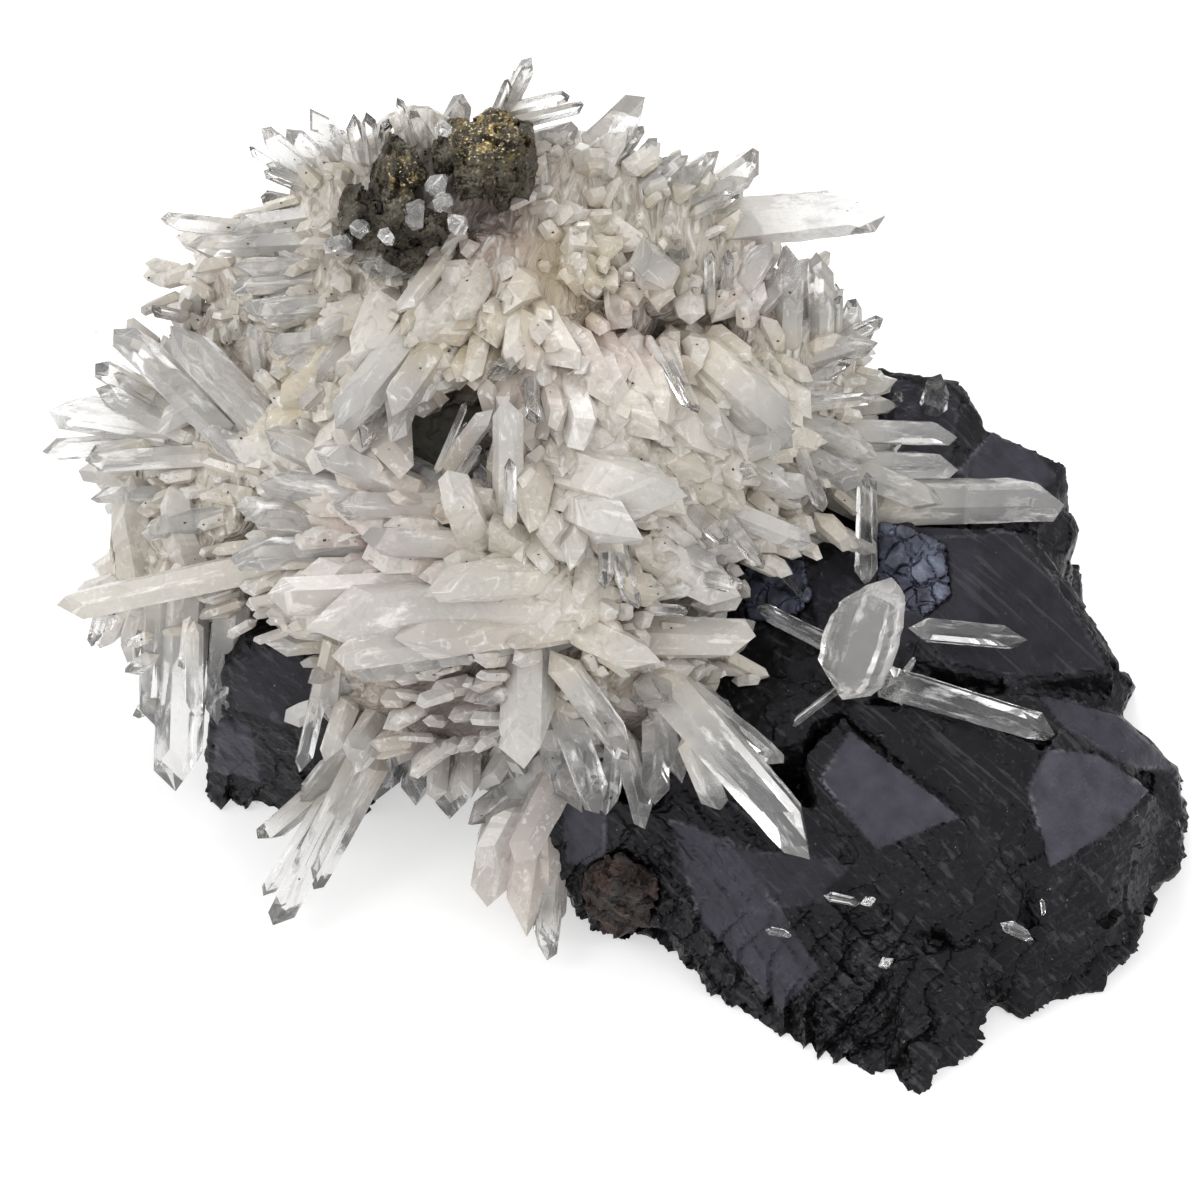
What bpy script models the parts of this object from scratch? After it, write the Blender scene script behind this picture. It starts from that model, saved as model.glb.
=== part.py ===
"""Sphalerite specimen: a black cleaved matrix under a burst of quartz points, with pyrite clumps and galena.

The real piece is about 117 mm wide. It was broken off its wall and cut flat below, and it rests on that cut.
Distances in the tables are millimetres. Z is up and the front faces -Y.
"""

import math
import random

import bmesh
import bpy
import numpy as np
from mathutils import Matrix, Vector

MM = 0.001

# The front view, in which most places on the specimen are given: across, up, and height above the cut base.
VIEW_TILT = math.radians(50.0)
VIEW_DISTANCE = 667.0
VIEW_HEIGHT = 30.0
TILT_SIN = math.sin(VIEW_TILT)
TILT_COS = math.cos(VIEW_TILT)

# The mound that the quartz points grow from, as its depth toward the viewer.
MOUND_DEPTH = 14.0
MOUND_ACROSS = -8.0
MOUND_UP = 14.0
MOUND_LEFT_FALL = 0.0146
MOUND_RIGHT_FALL = 0.0128
MOUND_TOP_FALL = 0.0055
MOUND_FRONT_FALL = 20.0 / 34.0 ** 3

# Clearance between touching pieces, and the depth of rock below the cut that is sliced away.
GAP = 0.38
BELOW_CUT = 6.0
CUT_SPAN = 200.0

# How far the middle of the specimen lies from the front view's centre, and how deep the points are rooted.
MIDDLE_X = 1.713
MIDDLE_Y = 2.187
ROOT_DEPTH = 3.5

# Edges shorter than a sliver are closed, and faces this near to one plane are joined.
SLIVER = 0.004
FLAT_WITHIN = math.radians(0.4)

# Quartz points: how far the shoulders of a point differ, how far its tip leans, its longest share of the
# crystal, and the least sideways part of an axis that its faces are turned by.
SHOULDER_UNEVEN = 0.25
SHOULDER_LEAN = 0.3
LONGEST_POINT = 0.6
LEAST_SIDEWAYS = 0.2
LEAN_TURNS = 11

# How far the corners of the rounded masses and of the small knobs swell in or out, as a share.
LUMP_SWELL = 0.07
KNOB_SWELL = 0.12

SEED = 34


def seen(across, up, height):
    """The point at a height above the base that shows at this place in the front view."""
    spread = TILT_SIN - up * TILT_COS / VIEW_DISTANCE
    depth = (height - VIEW_HEIGHT - up * TILT_COS) / spread
    return at_depth(across, up, depth)


def at_depth(across, up, depth):
    """The point at a depth toward the viewer that shows at this place in the front view."""
    shrink = (VIEW_DISTANCE - depth) / VIEW_DISTANCE
    across, up = across * shrink, up * shrink
    return Vector((across, up * TILT_SIN - depth * TILT_COS, VIEW_HEIGHT + up * TILT_COS + depth * TILT_SIN))


def on_mound(across, up, lift):
    """The point lifted above the quartz mound, toward the viewer, at this place in the front view."""
    aside = across - MOUND_ACROSS
    depth = MOUND_DEPTH - aside * aside * (MOUND_LEFT_FALL if aside < 0 else MOUND_RIGHT_FALL)
    above = up - MOUND_UP
    depth -= above * above * MOUND_TOP_FALL if above > 0 else -above ** 3 * MOUND_FRONT_FALL
    return at_depth(across, up, depth + lift)


# Meshes and Booleans

def clear_scene():
    for thing in list(bpy.data.objects):
        bpy.data.objects.remove(thing, do_unlink=True)


def hull_mesh(points, name):
    """A convex solid over points given in millimetres."""
    shape = bmesh.new()
    for point in points:
        shape.verts.new(Vector(point) * MM)
    result = bmesh.ops.convex_hull(shape, input=shape.verts)
    spare = [v for v in result["geom_interior"] + result["geom_unused"] if isinstance(v, bmesh.types.BMVert)]
    bmesh.ops.delete(shape, geom=list(set(spare)), context="VERTS")
    bmesh.ops.dissolve_limit(shape, angle_limit=math.radians(0.5), verts=shape.verts, edges=shape.edges)
    bmesh.ops.recalc_face_normals(shape, faces=shape.faces)
    mesh = bpy.data.meshes.new(name)
    shape.to_mesh(mesh)
    shape.free()
    return mesh


def grown(points, gap):
    """The corners of the convex solid over the points, with every face moved out by the gap."""
    shape = bmesh.new()
    for point in points:
        shape.verts.new(Vector(point))
    bmesh.ops.convex_hull(shape, input=shape.verts)
    shape.normal_update()
    centre = sum((v.co for v in shape.verts), Vector()) / len(shape.verts)
    moved = []
    for corner in shape.verts:
        if not corner.link_faces:
            continue
        normals = np.array([f.normal for f in corner.link_faces])
        middles = np.array([f.calc_center_median() - centre for f in corner.link_faces])
        normals *= np.sign(np.sum(normals * middles, axis=1))[:, None]
        step = np.linalg.lstsq(normals, np.full(len(normals), gap), rcond=None)[0]
        moved.append(corner.co + Vector(step))
    shape.free()
    return moved


def new_object(mesh, name):
    thing = bpy.data.objects.new(name, mesh)
    bpy.context.scene.collection.objects.link(thing)
    return thing


def combine(first, others, operation):
    """Applies one exact Boolean of the first object with all the others, and removes the others."""
    group = bpy.data.collections.new("operands")
    bpy.context.scene.collection.children.link(group)
    for other in others:
        group.objects.link(other)
    cut = first.modifiers.new("combine", "BOOLEAN")
    cut.operation = operation
    cut.operand_type = "COLLECTION"
    cut.collection = group
    cut.solver = "EXACT"
    cut.use_self = operation == "UNION"
    bpy.context.view_layer.update()
    reader = bpy.context.evaluated_depsgraph_get()
    result = bpy.data.meshes.new_from_object(first.evaluated_get(reader))
    first.modifiers.clear()
    spare = first.data
    first.data = result
    bpy.data.meshes.remove(spare)
    for other in others:
        bpy.data.objects.remove(other, do_unlink=True)
    bpy.data.collections.remove(group)
    return first


def tidy_solid(thing):
    """Keeps the largest closed shell, without the slivers and flat splits that Booleans leave."""
    shape = bmesh.new()
    shape.from_mesh(thing.data)
    bmesh.ops.remove_doubles(shape, verts=shape.verts, dist=SLIVER * MM)
    bmesh.ops.dissolve_degenerate(shape, edges=shape.edges, dist=SLIVER * MM)
    bmesh.ops.dissolve_limit(shape, angle_limit=FLAT_WITHIN, verts=shape.verts, edges=shape.edges)
    bmesh.ops.triangulate(shape, faces=shape.faces)
    shells = []
    waiting = set(shape.faces)
    while waiting:
        start = waiting.pop()
        shell = {start}
        edge_of_search = [start]
        while edge_of_search:
            face = edge_of_search.pop()
            for side in face.edges:
                for near in side.link_faces:
                    if near in waiting:
                        waiting.remove(near)
                        shell.add(near)
                        edge_of_search.append(near)
        shells.append(shell)
    volumes = []
    for shell in shells:
        corners = [[corner.co for corner in face.verts] for face in shell]
        volumes.append(abs(sum(a.dot(b.cross(c)) for a, b, c in corners)))
    largest = shells[volumes.index(max(volumes))]
    bmesh.ops.delete(shape, geom=[f for f in shape.faces if f not in largest], context="FACES")
    shape.normal_update()
    shape.to_mesh(thing.data)
    shape.free()
    thing.data.update()


def finish(thing, name, colour, roughness, metallic=0.0, transmission=0.0):
    """Gives the piece its name, flat shading and its own material."""
    thing.name = name
    thing.data.name = name
    thing.data.shade_flat()
    finish_of_piece = bpy.data.materials.new(name)
    finish_of_piece.use_nodes = True
    surface = finish_of_piece.node_tree.nodes["Principled BSDF"]
    surface.inputs["Base Color"].default_value = (*colour, 1.0)
    surface.inputs["Roughness"].default_value = roughness
    surface.inputs["Metallic"].default_value = metallic
    surface.inputs["Transmission Weight"].default_value = transmission
    thing.data.materials.clear()
    thing.data.materials.append(finish_of_piece)
    return thing


def slice_base(thing):
    """Slices the piece flat at the height of the cut."""
    half = CUT_SPAN / 2
    corners = [(x, y, z) for x in (-half, half) for y in (-half, half) for z in (-half, 0.0)]
    return combine(thing, [new_object(hull_mesh(corners, "below"), "below")], "DIFFERENCE")


def ledge(left, right, back, foot_back, top, chance):
    """The uneven corners of a ledge on the back of the matrix, from its top edge down below the cut."""
    corners = []
    for x, out in ((left, -LEDGE_FLARE), ((left + right) / 2, 0.0), (right, LEDGE_FLARE)):
        behind = back + chance.uniform(-LEDGE_UNEVEN, LEDGE_UNEVEN)
        height = top + chance.uniform(-LEDGE_UNEVEN, LEDGE_UNEVEN)
        corners.append(Vector((x, LEDGE_INSIDE, height)))
        corners.append(Vector((x, behind, height)))
        corners.append(Vector((x, LEDGE_INSIDE, -BELOW_CUT)))
        corners.append(Vector((x + out, behind + foot_back - back, -BELOW_CUT)))
    return corners


def centre_pieces():
    """Shifts every piece so that the middle of the specimen stands over the origin."""
    shift = Matrix.Translation(Vector((-MIDDLE_X, -MIDDLE_Y, 0.0)) * MM)
    for thing in bpy.data.objects:
        thing.data.transform(shift)


# Crystal shapes

def crystal(foot, tip, width, roll, point=0.66):
    """A six-sided quartz prism from foot to tip, as wide across its corners as given, with a six-faced point.

    The point is that share of the width high. Its shoulders are uneven and its tip leans to one side.
    """
    foot, tip = Vector(foot), Vector(tip)
    axis = tip - foot
    length = axis.length
    axis.normalize()
    toward = Vector((0.0, -TILT_COS, TILT_SIN))
    side = axis.cross(toward)
    if side.length < LEAST_SIDEWAYS:
        side = axis.cross(Vector((1.0, 0.0, 0.0)))
    side.normalize()
    front = side.cross(axis)
    half = width / 2
    rise = min(point * width, LONGEST_POINT * length)
    lean = side * math.cos(roll * LEAN_TURNS) + front * math.sin(roll * LEAN_TURNS)
    points = []
    for corner in range(6):
        angle = math.radians(60 * corner) + roll
        out = side * math.cos(angle) + front * math.sin(angle)
        uneven = 1.0 + SHOULDER_UNEVEN * (-1) ** corner - SHOULDER_LEAN * out.dot(lean)
        points.append(foot + out * half)
        points.append(foot + out * half + axis * (length - rise * uneven))
    points.append(tip + lean * half * SHOULDER_LEAN)
    return points


def lump(centre, radii, chance):
    """A rounded milky mass: an uneven ball of 42 corners stretched to the radii."""
    shape = bmesh.new()
    bmesh.ops.create_icosphere(shape, subdivisions=2, radius=1.0)
    points = []
    for corner in shape.verts:
        swell = 1.0 + chance.uniform(-LUMP_SWELL, LUMP_SWELL)
        points.append([c + r * x * swell for c, r, x in zip(centre, radii, corner.co)])
    shape.free()
    return points


def knob(centre, radius, chance):
    """A small rounded knob: an uneven ball of 12 corners."""
    shape = bmesh.new()
    bmesh.ops.create_icosphere(shape, subdivisions=1, radius=radius)
    points = []
    for corner in shape.verts:
        swell = 1.0 + chance.uniform(-KNOB_SWELL, KNOB_SWELL)
        points.append(Vector(centre) + corner.co * swell)
    shape.free()
    return points


# Sphalerite matrix: cleaved blocks, each by its seen corners and by how far its foot spreads below them.

def rock(corners, foot_spread=1.0, feet=(), inner=()):
    """The corners of a block at their seen places, with its feet and inner corners, dropped below the cut."""
    top = [seen(*corner) for corner in corners]
    middle = sum(top, Vector()) / len(top)
    dropped = []
    for corner in top:
        aside = (corner - middle) * foot_spread
        dropped.append(Vector((middle.x + aside.x, middle.y + aside.y, -BELOW_CUT)))
    return top + [seen(*foot) for foot in feet] + [Vector(corner) for corner in inner] + dropped


def undercut(corners):
    """The corners of a block that recedes below its seen corners, so that nothing of it shows under them."""
    return [seen(*corner) for corner in corners] + [seen(across, up, -BELOW_CUT) for across, up, _ in corners]


MATRIX_BLOCKS = {
    "base_slab": rock([(-36, 6, 14), (-30, -12, 8), (-12, -6, 18), (6, -8, 20), (30, -10, 22),
                       (44, 2, 24), (44, 14, 24), (30, 20, 28), (4, 20, 26), (-24, 18, 26),
                       (-36, 16, 20)], 1.0),
    "inner_mass": [Vector((x, y, z)) for x, y, top in ((6, -17, 9), (24, -26, 6), (43, -25, 3),
                                                       (52.5, -15, 7), (53, -2, 10), (48, 10, 16),
                                                       (30, 12, 22), (8, 8, 22)) for z in (top, -BELOW_CUT)],
    "back_ridge": rock([(26, 8, 29), (27, 15, 31), (28.1, 23.2, 34.5), (31, 22.2, 34), (35.8, 22, 33.5),
                        (38.3, 18, 31), (36, 9, 29.5)], 1.0),
    "top_right": rock([(35, 10, 29), (36.5, 17, 31), (39.3, 17.1, 30.5), (43.5, 15.2, 29),
                       (46.6, 13.6, 27.5), (47.0, 11.0, 25.5), (44.6, 8.6, 26.0)], 0.98),
    "right_knob": rock([(43.5, 9.5, 24.5), (47.2, 8.7, 23), (47.8, 7.0, 21.5), (46.3, 5.4, 21),
                        (46.2, 3.0, 19), (44.2, 3.0, 21)], 0.95),
    "dark_face": rock([(30, 7.5, 29.5), (41.6, 7.3, 29.5), (45.6, 2.2, 26.8), (51.8, -6.9, 21.8),
                       (49, -8.0, 20.5), (41, -8.6, 21.5), (30, -6, 24)], 1.0),
    "dark_face_rim": rock([(41.4, 7.0, 29.4), (43.2, 6.8, 28.4), (46.4, 2.8, 25.4), (52.4, -7.0, 19.5),
                           (50.5, -5.4, 21.6)], 0.98),
    "step_under_face": undercut([(40, -7.5, 23), (50.5, -7.3, 19.5), (52.6, -7.3, 18.5),
                                 (53.5, -8.6, 17.0), (52.2, -11.3, 15.5), (47, -10.5, 18.5),
                                 (41, -10.5, 20.5)]),
    "purple_band": undercut([(36, -9.4, 22), (44.5, -9.6, 21.5), (52.0, -11.6, 18.5),
                             (55.0, -13.9, 16.0), (57.9, -17.1, 12.5), (53, -17.3, 16.5),
                             (46.5, -13.5, 20.0), (37, -13, 21.5)]),
    "right_facet": rock([(42.8, -18.4, 20.0), (44.4, -14.6, 21.6), (46.6, -12.2, 22.0),
                         (50.6, -14.6, 19.6), (55.2, -19.2, 15.5), (51.6, -23.4, 14.0),
                         (45.2, -26.9, 13.6)], 0.9,
                        [(50.5, -37.8, 0.5), (43, -41.6, 0.5), (57.8, -24.5, 4.0), (55.2, -29.8, 1.5)]),
    "right_flank": undercut([(54.5, -16.6, 14.5), (57.9, -17.2, 12.5), (58.1, -21, 9.5),
                             (58.4, -25.6, 5.0), (57.0, -28.0, 2.5), (54.6, -31.0, 1.5), (52, -24, 11)]),
    "front_right_foot": undercut([(42.5, -27.5, 12.0), (46, -30.6, 9.0), (54.0, -31.5, 4.0),
                                  (53.4, -34.8, 2.0), (52.0, -37.0, 1.0), (50.0, -38.5, 0.5),
                                  (45.0, -40.7, 0.3), (42.8, -41.7, 0.3), (40.4, -41.2, 0.3),
                                  (39.6, -33.4, 8.0)]),
    "middle_slope": rock([(23.8, -10.6, 24.4), (34, -10.2, 24.0), (44.4, -14.8, 21.6),
                          (42.9, -19.6, 19.4), (42.8, -26.8, 13.2), (36.2, -21.9, 18.6)], 1.0),
    "left_facet": rock([(24.2, -11.6, 24.6), (36.2, -21.8, 19.4), (27.6, -25.1, 18.0),
                        (21.8, -20.2, 21.0), (20.5, -15.5, 23.4)], 1.0,
                       [(29.5, -33, 9.5), (41, -33, 9.0)]),
    "front_wall": rock([(27.4, -24.9, 17.8), (36.4, -21.8, 19.0), (43.0, -26.8, 13.0),
                        (41.0, -33.2, 9.0), (30.0, -32.4, 9.4), (16.4, -31.8, 9.6)], 1.0),
    "front_tip": undercut([(27.8, -41.5, 3.4), (29, -36, 8.4), (38.4, -34.4, 8.4), (39.4, -41.0, 0.8),
                           (37.5, -44.5, 0.3), (35.2, -46.0, 0.3), (33.4, -47.6, 0.2),
                           (31.5, -49.5, 0.1), (29.4, -47.8, 0.2)]),
    "front_ledge": undercut([(15.6, -32.6, 8.0), (22, -32.4, 9.0), (31, -33.4, 9.2), (36.5, -36, 6.6),
                             (33.4, -46.6, 0.4), (27.4, -46.0, 0.4), (26.4, -47.2, 0.1),
                             (23.2, -45.2, 0.3), (18, -43.4, 0.4)]),
    "toe": undercut([(15.4, -36.5, 5.0), (22.0, -38.0, 5.4), (24.4, -44.7, 0.8), (22.6, -45.4, 0.2),
                     (20, -44.5, 0.2), (17.6, -43.4, 0.2), (15.8, -42.4, 0.2), (12.0, -40.2, 0.2),
                     (10.6, -39.2, 0.4)]),
    "left_slope": undercut([(7.0, -17.0, 19.6), (13, -17.5, 20.6), (21.4, -21.0, 20.0),
                            (26.6, -27.0, 14.6), (23.0, -37.5, 6.0), (18.0, -43.0, 0.6),
                            (14.0, -40.7, 0.4), (10.6, -39.2, 0.4), (4.4, -26.0, 12.0)]),
    "left_ledge": undercut([(-4.0, -19.4, 15.6), (5.0, -20.6, 17.2), (9.0, -26.0, 13.6),
                            (7.4, -31.0, 8.0), (5.8, -33.6, 2.2), (3.0, -33.5, 2.2), (0.5, -33.3, 2.6),
                            (-1.6, -31.0, 3.6), (-5.0, -27.5, 6.0), (-6.1, -25.6, 7.6)]),
    "left_step": undercut([(3.4, -22.0, 15.8), (9.4, -18.4, 19.0), (12.4, -27.0, 12.6),
                           (13.0, -38.6, 2.4), (11.0, -39.2, 0.8), (8.0, -36.0, 1.2), (6.0, -33.9, 1.8),
                           (4.4, -30.0, 6.0)]),
    "notch": undercut([(35, -33.2, 9.4), (45, -33, 8.6), (44.0, -40.7, 0.8), (42.6, -41.6, 0.3),
                       (40.0, -40.9, 0.3), (38.6, -40.4, 0.8), (36, -38, 4)]),
    "upper_step": rock([(12, 2.5, 26.5), (22, 4.5, 27.8), (31, 8.5, 30), (33.6, 3.0, 27.6),
                        (31, -8, 24.6), (22, -12, 24.0), (12, -7.5, 23)], 1.0),
    "centre_step": rock([(9.5, -9.5, 21.8), (14, -7.0, 24.2), (18.5, -7.8, 25.2), (22.5, -9.8, 25.0),
                         (20.5, -14, 23.8), (14.5, -13.6, 22.6), (10.5, -16.5, 20.4)], 1.0),
    "left_crystal": rock([(-37.6, -6.4, 21.5), (-34.6, -4.1, 24.5), (-31.2, -3.8, 24.5),
                          (-25.2, -8.4, 20.5), (-22.9, -15.4, 10.0), (-27.4, -19.9, 1.4),
                          (-30.4, -20.5, 0.6), (-39.8, -17.8, 3.4), (-39.2, -13.4, 11.0)], 1.0,
                         [(-31, -12.5, 15.0)],
                         [(-38, 9, 20), (-25, 9, 22), (-38, 9, -BELOW_CUT), (-25, 9, -BELOW_CUT)]),
    "back_left_mass": rock([(-43.4, 26.9, 31.0), (-40.8, 28.6, 33.6), (-36.9, 30.1, 36.0),
                            (-33.0, 29.4, 36.0), (-28.2, 26.0, 34.5), (-29.5, 19.5, 31.0),
                            (-37.0, 20.0, 29.5)], 1.0, [],
                           [(-38, 36, 12), (-27, 37, 14), (-38, 37.5, -BELOW_CUT), (-27, 38, -BELOW_CUT)]),
    "hollow_floor": [at_depth(*corner) for corner in ((-23.5, 14, 3.6), (-21, 21.5, 3.2),
                                                      (-9.5, 21, 3.4), (-9.5, 11, 3.8), (-19, 10, 3.6),
                                                      (-22, 9, -30), (-8, 9, -30), (-8, 20, -26),
                                                      (-23, 20, -26))],
    "low_facet": rock([(11.5, -24.6, 15.2), (16.5, -24.0, 16.4), (21.5, -25.8, 16.2),
                       (25.0, -26.2, 15.8), (27.2, -29.4, 12.4),
                       (22, -30.8, 11.0), (15.4, -31.6, 10.0)], 1.0),
}

# Ledges on the back of the matrix: left, right, back edge of the top, back edge of the foot, and height.
LEDGE_INSIDE = 12.0
LEDGE_FLARE = 1.5
LEDGE_UNEVEN = 1.8
BACK_LEDGES = [
    (-41, -28, 30.5, 33.0, 17.0), (-30, -13, 33.0, 35.0, 12.0), (-22, -2, 31.5, 33.5, 21.0),
    (-6, 14, 34.5, 36.5, 9.5), (8, 27, 32.0, 34.5, 19.0), (22, 38, 31.0, 33.5, 14.0),
    (34, 45, 26.0, 29.0, 20.0), (40, 50, 19.0, 22.5, 13.0), (-8, 10, 30.0, 31.5, 26.5),
]

# Galena: bluish blocks with cubic cracks, let into the sphalerite.
GALENA_BLOCKS = {
    "galena_right": [seen(28.0, 7.6, 30.6), seen(30.6, 7.2, 30.4), seen(34.4, 5.2, 28.8),
                     seen(34.8, 0.6, 26.8), seen(31.6, -1.9, 25.8), seen(29.9, -1.6, 26.0),
                     seen(28.2, 1.0, 27.6), seen(31, 3.2, 22.0), seen(30.6, 4.5, 30.0)],
    "galena_left": [seen(14.2, 2.4, 27.4), seen(16.4, 4.4, 28.2), seen(20.2, 3.6, 28.4),
                    seen(21.0, 0.4, 27.0), seen(18.6, -2.6, 25.6), seen(15.0, -1.8, 25.4),
                    seen(17.6, 1.0, 21.0)],
}

# Brown weathered lump on the front edge.
WEATHERED_BLOCKS = [
    [seen(-1.7, -28.6, 7.2), seen(-0.8, -26.6, 9.6), seen(2.2, -25.4, 12.2), seen(4.8, -26.6, 12.0),
     seen(5.6, -29.6, 9.0), seen(5.0, -32.6, 4.0), seen(3.0, -33.5, 2.4), seen(0.4, -33.3, 2.4),
     seen(-1.2, -31.4, 3.6), seen(1.6, -28.6, 12.6), seen(3.6, -28.8, 12.0), seen(2.6, -31.2, 8.0),
     seen(2.4, -26.0, 3.0)],
]

# Quartz: rounded milky masses that the points grow from, by centre and radii.
QUARTZ_LUMPS = [
    ((-8, 16, 30), (30, 17, 19)),
    ((-24, 25, 42), (15, 10, 17)),
    ((-8, 25, 46), (18, 11, 17)),
    ((11, 19, 35), (15, 12, 14)),
    ((-35, 15, 29), (13, 10, 11)),
    ((-11, -1, 23), (18, 8, 13)),
    ((4, -6, 24), (8, 6, 8)),
]
# Smaller knobs just under the mound's face: across, up, lift of the middle, and radius.
QUARTZ_KNOBS = [
    (-24, 41, -8, 8), (-12, 47, -8, 7), (7, 36, -11, 9), (18, 24, -10, 7), (8, 12, -9, 7),
    (-44, 5, -7, 5), (-32, 26, -9, 8),
]
QUARTZ_BLOCKS = {
    "brown_crust": rock([(-24.5, -7, 17), (-23.5, -14, 9), (-21.5, -19.6, 2), (-14.6, -21.8, 2.0),
                         (-9, -19.6, 5.0), (-4, -15, 15), (-4, -6, 24), (-13, -4, 25), (-21, -5, 23),
                         (-14.4, -12, 13.5)], 1.0),
    "pale_block": rock([(-14.4, -20.6, 7.0), (-13.6, -27.0, 2.6), (-11, -30.1, 0.8), (-9.0, -30.0, 0.8),
                        (-8.0, -33.7, 0.4), (-6.5, -33.6, 0.4), (-3.2, -29.6, 2.0), (-5.4, -24.6, 7.4),
                        (-4.0, -18, 13), (-9, -18, 11.0), (-9.4, -24.6, 7.2)], 1.0),
    "left_root": rock([(-47.6, 6, 30), (-47, -1, 25), (-42, -6, 19), (-37, -3, 23), (-34, 4, 27),
                       (-38, 9, 31)], 0.6),
    "front_bundle": [on_mound(*place) for place in ((1, 2.6, 1), (0, -2.0, 1.5), (-7, -3.8, 2.5),
                                                    (-16, -5.2, 3.5), (-23, -7.2, 4), (-27, -3.4, 4),
                                                    (-28, 0.6, 3), (-20, 2.2, 3.5), (-10, 3.6, 4),
                                                    (-10, 0, 5), (-20, -1.6, 5.5), (-2, 0, -8),
                                                    (-14, 0, -8), (-24, -2, -7))],
    "milky_table": [on_mound(*place) for place in ((-5.0, 15.2, 2.0), (4.5, 16.2, 1.6),
                                                   (9.2, 11.0, 2.0), (5.0, 8.4, 3.2), (2.0, 5.8, 3.0),
                                                   (-4.0, 11.8, 2.6), (-5, 15, -7), (8, 12, -7),
                                                   (2, 6, -7))],
    "milky_column": rock([(-10.6, -3, 35), (-4.4, -3, 35), (-4.0, -9, 29.5), (-4.8, -14.6, 23.6),
                          (-9.8, -15.4, 23.4), (-10.4, -9, 30)], 0.7),
}
# The hollow left of the middle, where the dark rock shows between the points: its rim, floor and mouth.
HOLLOW_FLOOR = 1.0
HOLLOW_MOUTH = 40.0
HOLLOW_RIM = [(-18.8, 19.2), (-10.6, 19.4), (-11.4, 17.0), (-15.4, 12.8), (-18.4, 11.6), (-21.0, 13.4),
              (-21.2, 16.4)]

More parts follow.
